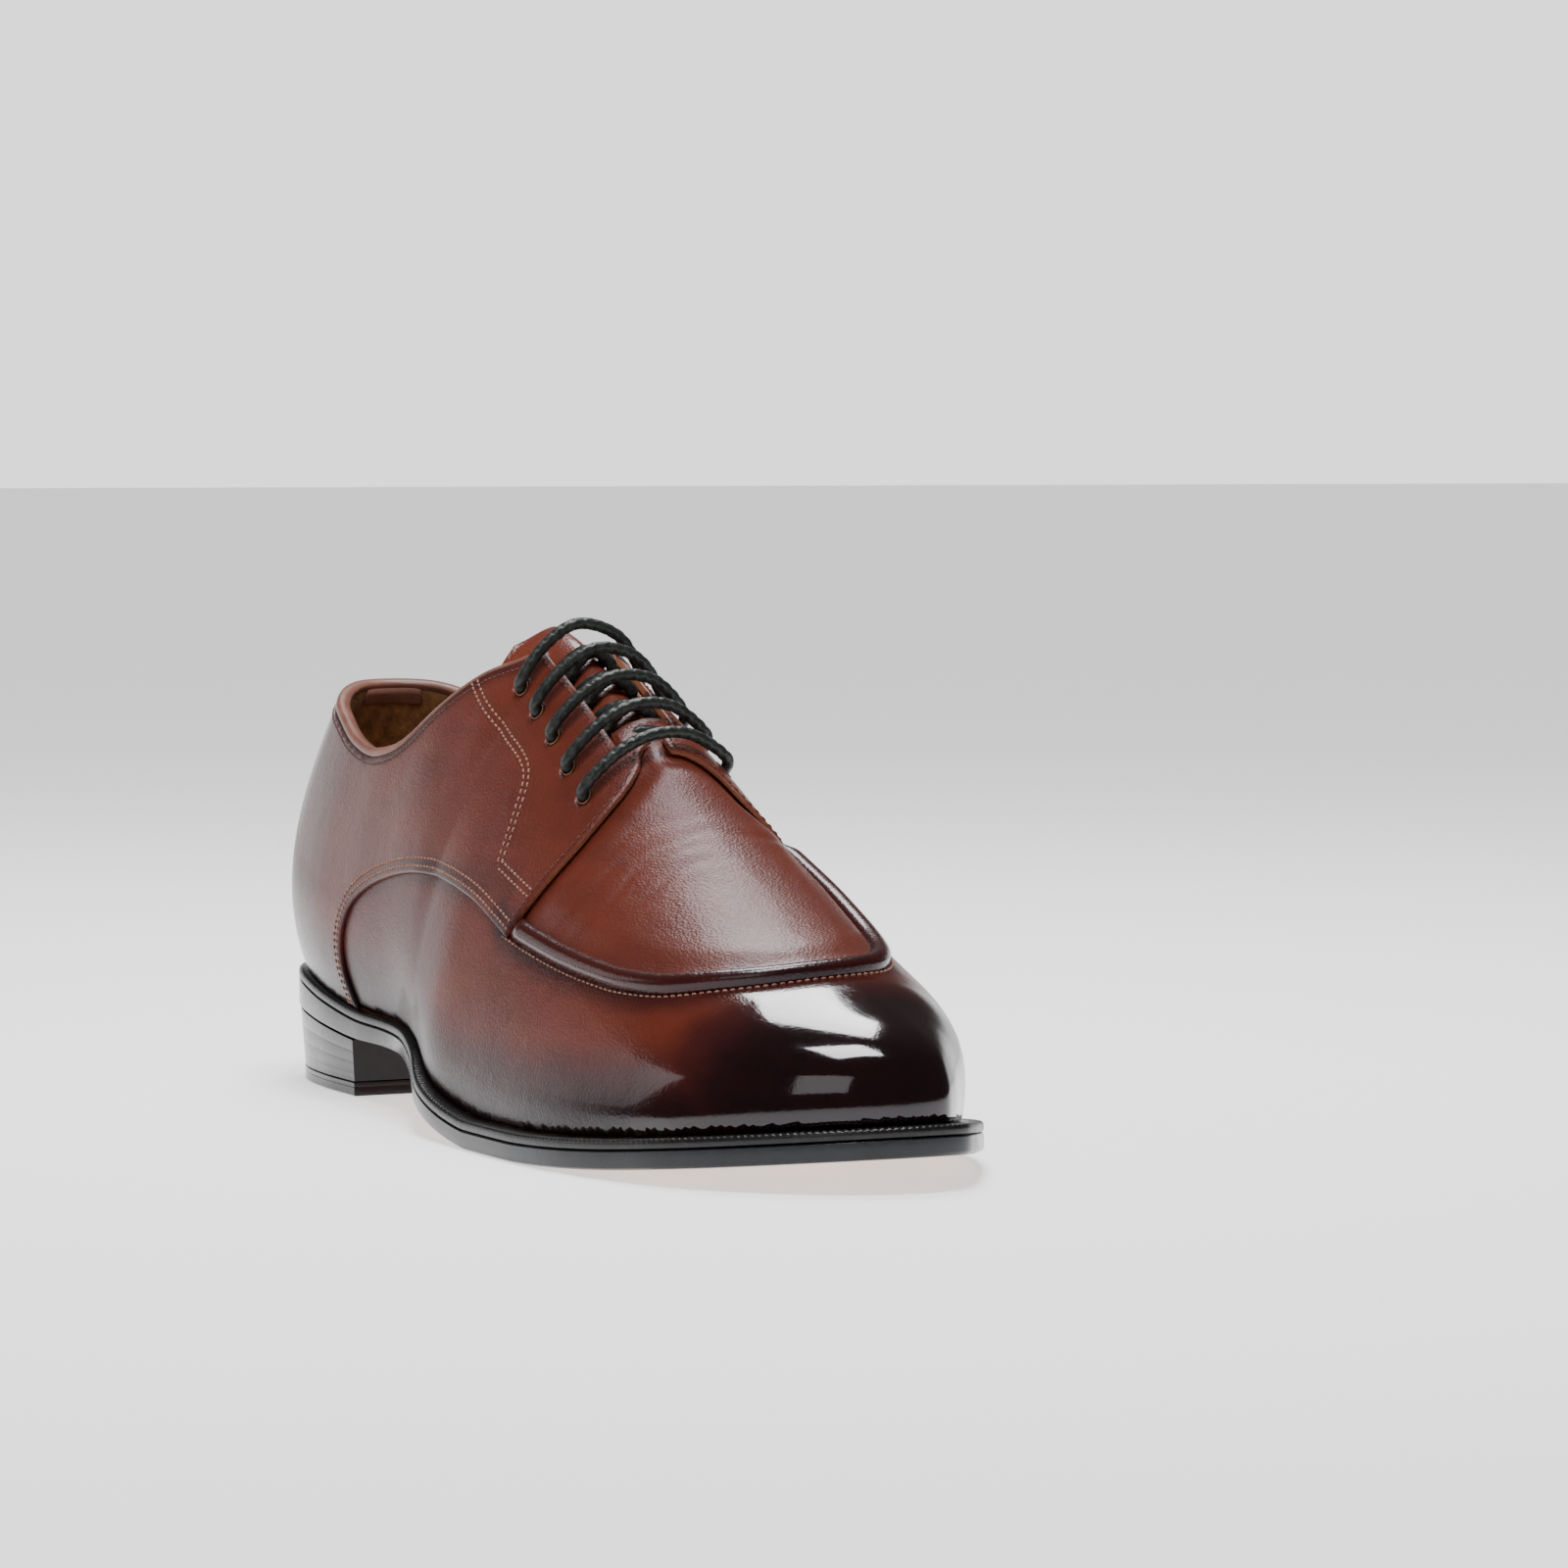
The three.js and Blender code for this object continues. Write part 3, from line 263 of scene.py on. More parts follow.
rib_low = seat(foot) + GAP
rib_high = ridge_z(rib_at)
rib_closed = rib_at >= THROAT_TOP - 1e-6
rib_end = np.where(rib_closed, 0, np.maximum(0, HALF_HEEL * track(RIBS, 3, key)))
lean = np.radians(mixed(5))
fold = np.radians(np.where(rib_closed, 90, np.minimum(90, mixed(7))))
rise = mixed(6) * (rib_high - rib_low)
spread = mixed(8) * (span * np.sin(fold) + (rib_high - rib_low) * np.cos(fold))
share = np.linspace(0, 1, ROWS)
weights = np.stack(((1 - share)**3, 3 * share * (1 - share)**2, 3 * share**2 * (1 - share), share**3))
out = np.stack((span, span + rise * np.sin(lean), rib_end + spread * np.sin(fold), rib_end), -1) @ weights
up = np.stack((rib_low, rib_low + rise * np.cos(lean), rib_high - spread * np.cos(fold),
               rib_high), -1) @ weights
forward = np.where(rib_toe, np.maximum(rib_dx, 0), 0)[:, None]
up_share = np.maximum(0, (up - rib_low[:, None]) / (rib_high - rib_low)[:, None])
skin = np.stack((rib_x[:, None] + rib_dx[:, None] * out, rib_y[:, None] + rib_dy[:, None] * out,
                 up - TOE_SLOPE * forward * out * share**1.5 * up_share), -1)
normal = unit(np.cross(np.roll(skin, -1, 0) - np.roll(skin, 1, 0), np.gradient(skin, axis=1)))
normal[rib_toe, -3:] = unit(np.array([TOE_SLOPE, 0, 1]))
climb = np.linalg.norm(np.diff(skin, axis=1), axis=2)
from_top = np.c_[np.cumsum(climb[:, ::-1], axis=1)[:, ::-1], np.zeros(COLUMNS)] + rib_end[:, None]


def look(table, s, v):
    """A table's value at places between its ribs and rows."""
    i = (np.asarray(s) % AROUND) / AROUND * COLUMNS
    j = np.clip(v, 0, 1) * (ROWS - 1)
    i0 = np.floor(i).astype(int) % COLUMNS
    j0 = np.minimum(np.floor(j).astype(int), ROWS - 2)
    fi, fj = (i - np.floor(i))[..., None], (j - j0)[..., None]
    i1 = (i0 + 1) % COLUMNS
    grid = table if table.ndim == 3 else table[..., None]
    value = ((grid[i0, j0] * (1 - fj) + grid[i0, j0 + 1] * fj) * (1 - fi)
             + (grid[i1, j0] * (1 - fj) + grid[i1, j0 + 1] * fj) * fi)
    return value if table.ndim == 3 else value[..., 0]


def rib_of(s, table):
    i = (np.asarray(s) % AROUND) / AROUND * COLUMNS
    i0 = np.floor(i).astype(int) % COLUMNS
    f = (i - np.floor(i))[:, None]
    return table[i0] * (1 - f) + table[(i0 + 1) % COLUMNS] * f


def side_place(at, side):
    at = np.asarray(at, float)
    return np.where(side < 0, HEEL_ARC + (at - HEEL_POLE) * LENGTH,
                    HEEL_ARC + SIDE + TOE_ARC + (TOE_POLE - at) * LENGTH)


# The skin unrolled: a point keeps its rib's station and direction, at its true distance from the ridge
def unrolled(s, v):
    at, dx, dy, _, _ = rib_frame(s)
    run = look(from_top, s, v)
    return np.stack((at * LENGTH + dx * run, axis_y(at) + dy * run), -1)


def located(u):
    """Place round the shoe and row of unrolled points."""
    x, y = u[:, 0], u[:, 1]
    cx = np.clip(x, HEEL_POLE * LENGTH, TOE_POLE * LENGTH)
    rx, ry = x - cx, y - axis_y(cx / LENGTH)
    run = np.hypot(rx, ry)
    heel_s = np.arctan2(-ry, -rx) / (math.pi / 2) * HEEL_ARC
    toe_s = HEEL_ARC + SIDE + np.arctan2(rx, -ry) / math.pi * TOE_ARC
    s = np.where(x < cx, heel_s, np.where(x > cx, toe_s, side_place(cx / LENGTH, ry)))
    v = np.empty(len(u))
    for a in range(0, len(u), 20000):
        part = slice(a, a + 20000)
        rows = rib_of(s[part], from_top)
        j = np.clip((rows > run[part, None]).sum(1) - 1, 0, ROWS - 2)
        k = np.arange(len(rows))
        high, low = rows[k, j], rows[k, j + 1]
        v[part] = (j + np.clip((high - run[part]) / np.maximum(high - low, 1e-9), 0, 1)) / (ROWS - 1)
    return s, v


def on_skin(u, height=0.0):
    s, v = located(u)
    return look(skin, s, v) + unit(look(normal, s, v)) * np.reshape(height, (-1, 1))


def normal_at(u):
    s, v = located(u)
    return unit(look(normal, s, v))


def seen_from_side(points, side):
    """Unrolled places of points given as shares of length and instep height, seen from one side."""
    p = np.asarray(points, float)
    s = side_place(p[:, 0], side)
    heights = rib_of(s, skin[..., 2])
    v = np.array([np.interp(z, row, share) for z, row in zip(p[:, 1] * INSTEP, heights)])
    return unrolled(s, v)


def seen_from_above(x, y):
    x, y = np.broadcast_arrays(np.asarray(x, float), np.asarray(y, float))
    side = np.where(y < axis_y(x / LENGTH), -1, 1)
    s = side_place(x / LENGTH, side)
    widths = side[:, None] * rib_of(s, skin[..., 1])
    top = slice(ROWS // 5, None)
    v = np.array([np.interp(-q, -row[top], share[top]) for q, row in zip(side * y, widths)])
    return unrolled(s, v)


def topline_row(s):
    """The row at which each rib meets the topline."""
    rows = rib_of(np.atleast_1d(s), skin.reshape(COLUMNS, -1)).reshape(-1, ROWS, 3)
    above = rows[..., 2] - BACK * track(TOPLINE, 1, rows[..., 0] / LENGTH)
    first = ROWS // 3
    hit = np.argmax(above[:, first:] > 0, axis=1) + first
    k = np.arange(len(rows))
    a, b = above[k, hit - 1], above[k, hit]
    return (hit - 1 + a / (a - b)) / (ROWS - 1)


def distance(points, line, closed=False):
    """Distance of each point from a line in the unrolled plane."""
    a = line if closed else line[:-1]
    b = np.roll(line, -1, 0) if closed else line[1:]
    best = np.full(len(points), 1e9)
    for start in range(0, len(points), 4000):
        p = points[start:start + 4000, None]
        t = np.clip(((p - a) * (b - a)).sum(2) / np.maximum(((b - a)**2).sum(1), 1e-9), 0, 1)
        best[start:start + 4000] = np.linalg.norm(p - a - t[..., None] * (b - a), axis=2).min(1)
    return best


def inside(points, ring):
    x, y = points[:, 0], points[:, 1]
    odd = np.zeros(len(points), bool)
    for (ax, ay), (bx, by) in zip(ring, np.roll(ring, -1, 0)):
        if ay != by:
            odd ^= ((ay > y) != (by > y)) & (x < (bx - ax) * (y - ay) / (by - ay) + ax)
    return odd


# Feature lines in the unrolled plane
throat_middle = float(axis_y(0.5)) - 2.2
throat_outer = throat_middle - THROAT / 2
throat_inner = throat_middle + THROAT / 2
throat_end = FACING_OUTER[0][0] * LENGTH


def side_curve(rows, side, step=0.8):
    seen = catmull(np.array(rows) * (LENGTH, INSTEP), 12) / (LENGTH, INSTEP)
    return resample(seen_from_side(seen, side), step)


facing_outer = side_curve(FACING_OUTER, -1)
facing_inner = side_curve(FACING_INNER, 1)
foot_outer = side_curve([FACING_OUTER[-1]] + QUARTER_FOOT, -1)
foot_inner = side_curve([FACING_INNER[-1]] + QUARTER_FOOT, 1)


def topline_line(side):
    at = np.linspace(HEEL_POLE, 0.4285, 300)
    s = side_place(at, side)
    v = topline_row(s)
    y = look(skin, s, v)[:, 1]
    edge = throat_outer if side < 0 else throat_inner
    keep = side * y >= side * edge
    return unrolled(s[keep], v[keep]), at[keep][-1]


collar_outer, corner_outer = topline_line(-1)
collar_inner, corner_inner = topline_line(1)
heel_turns = np.linspace(-HEEL_ARC, HEEL_ARC, 140)[1:-1]
collar_back = unrolled(heel_turns, topline_row(heel_turns))
collar = np.vstack((collar_inner[::-1], collar_back, collar_outer))
throat_x = np.linspace(corner_outer * LENGTH + 0.4, throat_end, 60)
slot_outer = seen_from_above(throat_x, np.full(60, throat_outer))
inner_x = np.linspace(corner_inner * LENGTH + 0.4, throat_end, 60)
slot_inner = seen_from_above(inner_x, np.full(60, throat_inner))
heel_low = unrolled(np.linspace(-HEEL_ARC - (0.238 - HEEL_POLE) * LENGTH,
                                HEEL_ARC + (0.238 - HEEL_POLE) * LENGTH, 260), np.zeros(260))

quarter_ring = resample(np.vstack((
    collar, slot_outer[1:], facing_outer[1:], foot_outer[1:], heel_low[::-1], foot_inner[::-1],
    facing_inner[::-1][1:], slot_inner[::-1][1:-1])), 0.8, closed=True)

apron_plan = catmull(np.array(APRON) * (LENGTH, HALF_BALL), 12)
apron_seam = resample(seen_from_above(apron_plan[:, 0], apron_plan[:, 1]), 0.8)


def shifted(line, amount):
    """A line moved to its left in the unrolled plane."""
    along = unit(np.gradient(line, axis=0))
    return line + np.c_[-along[:, 1], along[:, 0]] * amount


# Meshes
ROOT = "root"


def metres(points):
    return (np.asarray(points, float) - (TREAD, 0, 0)) / 1000


def turned_out(points, faces):
    """The faces with their outer sides outwards."""
    corners = np.array([(f[0], f[k], f[k + 1]) for f in faces for k in range(1, len(f) - 1)])
    a, b, c = (np.asarray(points)[corners[:, k]] for k in range(3))
    inward = (a * np.cross(b, c)).sum() < 0
    return [tuple(f)[::-1] for f in faces] if inward else faces


def add_mesh(name, points, faces, material, values=None, stands_for=(), sharp=None):
    mesh = bpy.data.meshes.new(name)
    faces = turned_out(points, faces)
    mesh.from_pydata(metres(points).tolist(), [], [tuple(map(int, f)) for f in faces])
    mesh.validate()
    mesh.polygons.foreach_set("use_smooth", np.ones(len(mesh.polygons), bool))
    for key_name, value in (values or {}).items():
        layer = mesh.attributes.new(key_name, "FLOAT", "POINT")
        layer.data.foreach_set("value", np.asarray(value, np.float32))
    mesh.update()
    if sharp:
        mesh.set_sharp_from_angle(angle=math.radians(sharp))
    obj = bpy.data.objects.new(name, mesh)
    bpy.context.collection.objects.link(obj)
    mesh.materials.append(material)
    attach(obj, ROOT)
    if stands_for:
        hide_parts(*stands_for)
    return obj


def triangulated(ring, holes, spacing, extra=None):
    """Triangles over the inside of a ring in the plane, on an even lattice."""
    low, high = ring.min(0), ring.max(0)
    row_step = spacing * math.sqrt(3) / 2
    ys = np.arange(low[1], high[1], row_step)
    xs = np.arange(low[0], high[0], spacing)
    grid = np.array([(x + (spacing / 2 if k % 2 else 0), y) for k, y in enumerate(ys) for x in xs])
    grid = grid[inside(grid, ring)]
    grid = grid[distance(grid, ring, closed=True) > 0.55 * spacing]
    for hole in holes:
        grid = grid[~inside(grid, hole)]
        grid = grid[distance(grid, hole, closed=True) > 0.4 * spacing]
    if extra is not None:
        grid = grid[distance(grid, extra, closed=True) > 0.4 * spacing]
        near = np.min([distance(extra, loop, closed=True) for loop in [ring, *holes]], axis=0)
        grid = np.vstack((grid, extra[inside(extra, ring) & (near > 0.3)]))
    rings = [ring, *holes]
    points = np.vstack([*rings, grid])
    edges, start = [], 0
    for loop in rings:
        n = len(loop)
        edges += [(start + k, start + (k + 1) % n) for k in range(n)]
        start += n
    coords, _, faces, origin, _, _ = delaunay_2d_cdt([Vector(p) for p in points], edges, [], 1, 1e-6)
    coords = np.array([tuple(c) for c in coords])
    new_index = {}
    for k, sources in enumerate(origin):
        for source in sources:
            new_index[source] = k
    faces = np.array([f for f in faces if len(f) == 3])
    for hole in holes:
        faces = faces[~inside(coords[faces].mean(1), hole)]
    a, b, c = (coords[faces[:, k]] for k in range(3))
    turn = (b - a)[:, 0] * (c - a)[:, 1] - (b - a)[:, 1] * (c - a)[:, 0]
    faces = np.where(turn[:, None] > 0, faces, faces[:, ::-1])
    loops, start = [], 0
    for loop in rings:
        loops.append(np.array([new_index[start + k] for k in range(len(loop))]))
        start += len(loop)
    return coords, faces, loops


def without_loops(ring, reach_on=14):
    """The ring without the small loops where two of its lines cross at a corner."""
    points = list(ring)
    i = 0
    while i < len(points):
        a, b = points[i], points[(i + 1) % len(points)]
        for k in range(reach_on, 1, -1):
            if len(points) < 3 * reach_on:
                break
            c, d = points[(i + k) % len(points)], points[(i + k + 1) % len(points)]
            ab, cd = b - a, d - c
            cross = ab[0] * cd[1] - ab[1] * cd[0]
            if abs(cross) < 1e-9:
                continue
            t = ((c - a)[0] * cd[1] - (c - a)[1] * cd[0]) / cross
            w = ((c - a)[0] * ab[1] - (c - a)[1] * ab[0]) / cross
            if 0 <= t <= 1 and 0 <= w <= 1:
                drop = {(i + q) % len(points) for q in range(1, k + 1)}
                points = [p for q, p in enumerate(points) if q not in drop]
                break
        i += 1
    return np.array(points)


def ccw(ring):
    x, y = ring[:, 0], ring[:, 1]
    area = (x * np.roll(y, -1) - y * np.roll(x, -1)).sum()
    return ring if area > 0 else ring[::-1]


def ring_inset(ring, amount):
    along = unit(np.roll(ring, -1, 0) - np.roll(ring, 1, 0))
    return ring + np.c_[-along[:, 1], along[:, 0]] * amount


def panel(name, ring, high, low, spacing, material, paint, bevel=0.4, holes=(), stands_for=()):
    """A closed sheet of leather on the skin, between two heights, with rounded edges."""
    ring = ccw(without_loops(ring))
    holes = [ccw(h) for h in holes]
    coords, faces, loops = triangulated(ring, holes, spacing, ring_inset(ring, bevel))
    count = len(coords)
    top, base = high(coords), low(coords)
    rims = np.concatenate(loops)
    top[rims] -= np.minimum(0.6 * bevel, 0.3 * (top[rims] - base[rims]))
    u = [coords, coords]
    heights = [top, base]
    all_faces = [faces, faces[:, ::-1] + count]
    start = 2 * count
    for loop, edge, way in [(loops[0], ring, 1)] + [(lp, h, -1) for lp, h in zip(loops[1:], holes)]:
        n = len(loop)
        edge_top, edge_low = high(edge), low(edge)
        thick = np.maximum(edge_top - edge_low, 0.02)
        index = [loop]
        for part in (0.45, 0.75):
            u.append(edge)
            heights.append(edge_top - part * thick)
            index.append(np.arange(start, start + n))
            start += n
        index.append(loop + count)
        for a, b in zip(index, index[1:]):
            quads = np.c_[a, b, np.roll(b, -1), np.roll(a, -1)][:, ::way]
            all_faces.append(np.vstack((quads[:, [0, 1, 2]], quads[:, [0, 2, 3]])))
    u = np.vstack(u)
    points = on_skin(u, np.concatenate(heights))
    values = paint(u, points)
    values["edge"] = np.where(np.arange(len(u)) < 2 * count, 0.0, 1.0)
    values["edge"][rims] = 0.35
    values["edge"] *= smooth(48, 62, points[:, 2])
    return add_mesh(name, points, np.vstack(all_faces), material, values, stands_for)


def swept(name, sections, material, values=None, stands_for=(), closed=False):
    """A mesh through rings of points: sections is (stations, ring, 3)."""
    stations, n = sections.shape[:2]
    idx = np.arange(stations * n).reshape(stations, n)
    nxt = np.roll(idx, -1, 0) if closed else idx[1:]
    cur = idx if closed else idx[:-1]
    faces = np.stack((cur, np.roll(cur, -1, 1), np.roll(nxt, -1, 1), nxt), -1).reshape(-1, 4)
    faces = [tuple(f) for f in faces]
    points = sections.reshape(-1, 3)
    if not closed:
        faces += [tuple(idx[0][::-1]), tuple(idx[-1])]
    return add_mesh(name, points, faces, material, values, stands_for)


def tube_sections(line, radius, sides):
    """Rings round a line, without twist."""
    tangent = unit(np.gradient(line, axis=0))
    side = np.cross(tangent[0], (0, 0, 1.0))
    if np.linalg.norm(side) < 0.1:
        side = np.cross(tangent[0], (1.0, 0, 0))
    rings = []
    for k, t in enumerate(tangent):
        side = side - t * np.dot(side, t)
        side /= np.linalg.norm(side)
        other = np.cross(t, side)
        turn = np.linspace(0, 2 * math.pi, sides, endpoint=False)
        r = radius if np.isscalar(radius) else radius[k]
        r = np.reshape(r, (-1, 1))
        rings.append(line[k] + r * (np.cos(turn)[:, None] * side + np.sin(turn)[:, None] * other))
    return np.array(rings)


# Materials
def new_material(name):
    material = bpy.data.materials.new(name)
    material.use_nodes = True
    tree = material.node_tree
    return material, tree, tree.nodes["Principled BSDF"]


def node(tree, kind, **inputs):
    made = tree.nodes.new(kind)
    for label, value in inputs.items():
        made.inputs[label.replace("_", " ")].default_value = value
    return made


def noise(tree, scale, detail=2.0, stretch=None):
    coords = tree.nodes.new("ShaderNodeTexCoord")
    made = node(tree, "ShaderNodeTexNoise", Scale=scale, Detail=detail)
    if stretch:
        mapping = tree.nodes.new("ShaderNodeMapping")
        mapping.inputs["Scale"].default_value = stretch
        tree.links.new(coords.outputs["Object"], mapping.inputs["Vector"])
        tree.links.new(mapping.outputs[0], made.inputs["Vector"])
    else:
        tree.links.new(coords.outputs["Object"], made.inputs["Vector"])
    return made.outputs["Fac"]


def maths(tree, operation, a, b=None, c=None):
    made = tree.nodes.new("ShaderNodeMath")
    made.operation = operation
    for k, value in enumerate((a, b, c)):
        if value is None:
            continue
        if isinstance(value, (int, float)):
            made.inputs[k].default_value = value
        else:
            tree.links.new(value, made.inputs[k])
    return made.outputs[0]


def attribute(tree, name):
    made = tree.nodes.new("ShaderNodeAttribute")
    made.attribute_name = name
    return made.outputs["Fac"]


def ramp(tree, value, stops):
    made = tree.nodes.new("ShaderNodeValToRGB")
    elements = made.color_ramp.elements
    while len(elements) < len(stops):
        elements.new(0.5)
    for element, (position, colour) in zip(elements, stops):
        element.position = position
        element.color = (*colour, 1)
    tree.links.new(value, made.inputs["Fac"])
    return made.outputs["Color"]


def span_of(tree, value, low, high):
    made = tree.nodes.new("ShaderNodeMapRange")
    made.inputs["To Min"].default_value = low
    made.inputs["To Max"].default_value = high
    tree.links.new(value, made.inputs["Value"])
    return made.outputs["Result"]


def bump(tree, shader, height, strength, depth, below=None):
    made = tree.nodes.new("ShaderNodeBump")
    made.inputs["Strength"].default_value = strength
    made.inputs["Distance"].default_value = depth
    tree.links.new(height, made.inputs["Height"])
    if below is not None:
        tree.links.new(below, made.inputs["Normal"])
    tree.links.new(made.outputs[0], shader.inputs["Normal"])
    return made.outputs[0]


CALF = [(0.0, (0.270, 0.070, 0.030)), (0.30, (0.130, 0.025, 0.013)),
        (0.60, (0.046, 0.0085, 0.0065)), (0.85, (0.0130, 0.0032, 0.0036)), (1.0, (0.0050, 0.0020, 0.0026))]


def calf_leather():
    material, tree, shader = new_material("burnished_calf_painted_shading")
    # tone carries burnishing together with painted shade and painted light
    tone = attribute(tree, "tone")
    cloud = noise(tree, 45.0, 3.0)
    streak = noise(tree, 140.0, 2.0, (0.35, 1.0, 1.6))
    varied = maths(tree, "ADD", tone, maths(tree, "MULTIPLY", maths(tree, "SUBTRACT", cloud, 0.5), 0.22))
    varied = maths(tree, "ADD", varied, maths(tree, "MULTIPLY", maths(tree, "SUBTRACT", streak, 0.5), 0.14))
    cut = tree.nodes.new("ShaderNodeMix")
    cut.data_type = "RGBA"
    tree.links.new(maths(tree, "MULTIPLY", attribute(tree, "edge"), 0.7), cut.inputs[0])
    tree.links.new(ramp(tree, varied, CALF), cut.inputs[6])
    cut.inputs[7].default_value = (0.30, 0.115, 0.060, 1)
    tree.links.new(cut.outputs[2], shader.inputs["Base Color"])
    polish = attribute(tree, "polish")
    fine = noise(tree, 900.0, 2.0)
    rough = maths(tree, "ADD", span_of(tree, polish, 0.46, 0.09),
                  maths(tree, "MULTIPLY", maths(tree, "SUBTRACT", fine, 0.5), 0.10))
    tree.links.new(rough, shader.inputs["Roughness"])
    tree.links.new(maths(tree, "POWER", polish, 2.0), shader.inputs["Coat Weight"])
    shader.inputs["Coat Roughness"].default_value = 0.05
    shader.inputs["Coat IOR"].default_value = 1.35
    shader.inputs["Specular IOR Level"].default_value = 0.27
    shader.inputs["Specular Tint"].default_value = (0.93, 0.90, 1.0, 1)
    coords = tree.nodes.new("ShaderNodeTexCoord")
    pores = node(tree, "ShaderNodeTexVoronoi", Scale=1500.0)
    tree.links.new(coords.outputs["Object"], pores.inputs["Vector"])
    grain = maths(tree, "MULTIPLY", pores.outputs["Distance"], span_of(tree, polish, 1.0, 0.12))
    first = bump(tree, shader, grain, 0.35, 0.00025)
    waves = maths(tree, "MULTIPLY", noise(tree, 190.0, 3.0), span_of(tree, polish, 1.0, 0.35))
    bump(tree, shader, waves, 0.30, 0.0006, first)
    return material


def plain_leather(name, stops, roughness, scale, strength, coat=0.0, sheen=0.0):
    material, tree, shader = new_material(name)
    tree.links.new(ramp(tree, noise(tree, scale, 4.0), stops), shader.inputs["Base Color"])
    rough = span_of(tree, noise(tree, scale * 3, 2.0), roughness - 0.08, roughness + 0.08)
    tree.links.new(rough, shader.inputs["Roughness"])
    shader.inputs["Coat Weight"].default_value = coat
    shader.inputs["Specular IOR Level"].default_value = 0.24
    shader.inputs["Coat Roughness"].default_value = 0.15
    shader.inputs["Sheen Weight"].default_value = sheen
    bump(tree, shader, noise(tree, scale * 5, 3.0), strength, 0.0004)
    return material


calf = calf_leather()
lining_leather = plain_leather("suede_lining", [(0.25, (0.20, 0.085, 0.032)), (0.75, (0.46, 0.245, 0.105))],
                               0.85, 350.0, 0.8, sheen=0.3)
sock_leather = plain_leather("tan_sock", [(0.3, (0.36, 0.18, 0.08)), (0.7, (0.50, 0.28, 0.14))], 0.6, 60.0, 0.2)
binding_leather = plain_leather("collar_binding_leather",
                                [(0.3, (0.150, 0.060, 0.044)), (0.7, (0.25, 0.110, 0.080))],
                                0.42, 120.0, 0.2, coat=0.1)
edge_leather = plain_leather("cut_edge", [(0.3, (0.16, 0.060, 0.034)), (0.7, (0.28, 0.120, 0.070))],
                             0.5, 200.0, 0.3)
sole_black = plain_leather("polished_edge", [(0.3, (0.0060, 0.0065, 0.0090)), (0.7, (0.012, 0.013, 0.018))],
                           0.24, 90.0, 0.12, coat=0.15)
welt_black = plain_leather("welt_black", [(0.3, (0.006, 0.0055, 0.006)), (0.7, (0.014, 0.012, 0.013))],
                           0.36, 220.0, 0.3, coat=0.1)
sole_tan = plain_leather("sole_bottom", [(0.3, (0.30, 0.13, 0.055)), (0.7, (0.46, 0.24, 0.115))],
                         0.5, 40.0, 0.2)
thread_tan = plain_leather("thread", [(0.3, (0.24, 0.105, 0.070)), (0.7, (0.40, 0.205, 0.150))],
                           0.55, 900.0, 0.3)
thread_dark = plain_leather("thread_dark", [(0.3, (0.075, 0.028, 0.022)), (0.7, (0.15, 0.062, 0.048))],
                            0.5, 900.0, 0.3)
thread_light = plain_leather("thread_light", [(0.3, (0.24, 0.120, 0.085)), (0.7, (0.42, 0.240, 0.180))],
                             0.5, 900.0, 0.3)
lace_wax = plain_leather("waxed_lace", [(0.3, (0.008, 0.0100, 0.0085)), (0.7, (0.026, 0.030, 0.027))],
                         0.42, 500.0, 0.3, coat=0.15)

# How dark and how polished the leather is
quarter_line = np.vstack((foot_inner[::-1], facing_inner[::-1])), np.vstack((facing_outer, foot_outer))


def paint(u, points):
    """Tone and polish: burnished dark at the toe and the seams, burnished light in the apron, darker towards
    the sole; painted shade on the low waist and the lower quarter sides, painted light on the facings.
    """
    x, z = points[:, 0] / LENGTH, points[:, 2]
    above = z - seat(x)
    seam = distance(u, apron_seam)
    edges = np.minimum(distance(u, quarter_line[0]), distance(u, quarter_line[1]))
    rim = distance(u, collar)
    in_apron = inside(u, apron_ring)
    toe = smooth(0.80, 0.93, x) * np.where(in_apron, 0.3, 1)
    back = smooth(0.30, 0.06, x)
    # painted shade: darker low on the waist, where the upper overhangs the sole
    low_waist_painted_shade = smooth(0.20, 0.30, x) * smooth(0.56, 0.44, x) * smooth(60, 20, above)
    tone = np.full(len(x), 0.30)
    tone = np.maximum(tone, 0.30 + 0.62 * toe)
    tone = np.maximum(tone, 0.30 + 0.28 * back)
    tone = np.maximum(tone, 0.30 + 0.22 * low_waist_painted_shade)
    tone = np.maximum(tone, 0.30 + 0.55 * smooth(26, 3, above))
    tone = np.maximum(tone, 0.32 + 0.30 * smooth(9, 0.5, seam) * np.where(in_apron, 0.45, 1))
    tone = np.maximum(tone, 0.34 + 0.24 * smooth(6, 0.5, edges) * smooth(0.50, 0.62, 1.05 - x))
    tone = np.where(in_apron, tone - 0.17 * smooth(3, 13, seam), tone)
    # painted light: the facings, high on the front of the quarters, are made lighter
    facing_painted_light = smooth(0.36, 0.44, x) * inside(u, quarter_ring) * smooth(58, 76, z)
    tone = tone - 0.20 * facing_painted_light * (1 - 0.6 * smooth(4, 0, edges))
    # painted shade: the lower front of the quarters is made darker
    side = smooth(0.34, 0.42, x) * inside(u, quarter_ring) * smooth(80, 55, z)
    tone = tone + 0.16 * side
    tone = np.maximum(tone, 0.38 + 0.25 * smooth(5, 0.5, rim))
    polish = 0.22 + 0.78 * smooth(0.74, 0.90, x) * (1 - 0.75 * in_apron)
    polish = polish + 0.25 * back + 0.10 * smooth(20, 2, above)
    polish = polish * (1 - 0.45 * smooth(8, 36, points[:, 1]))
    return {"tone": np.clip(tone, 0, 1), "polish": np.clip(polish, 0, 1)}
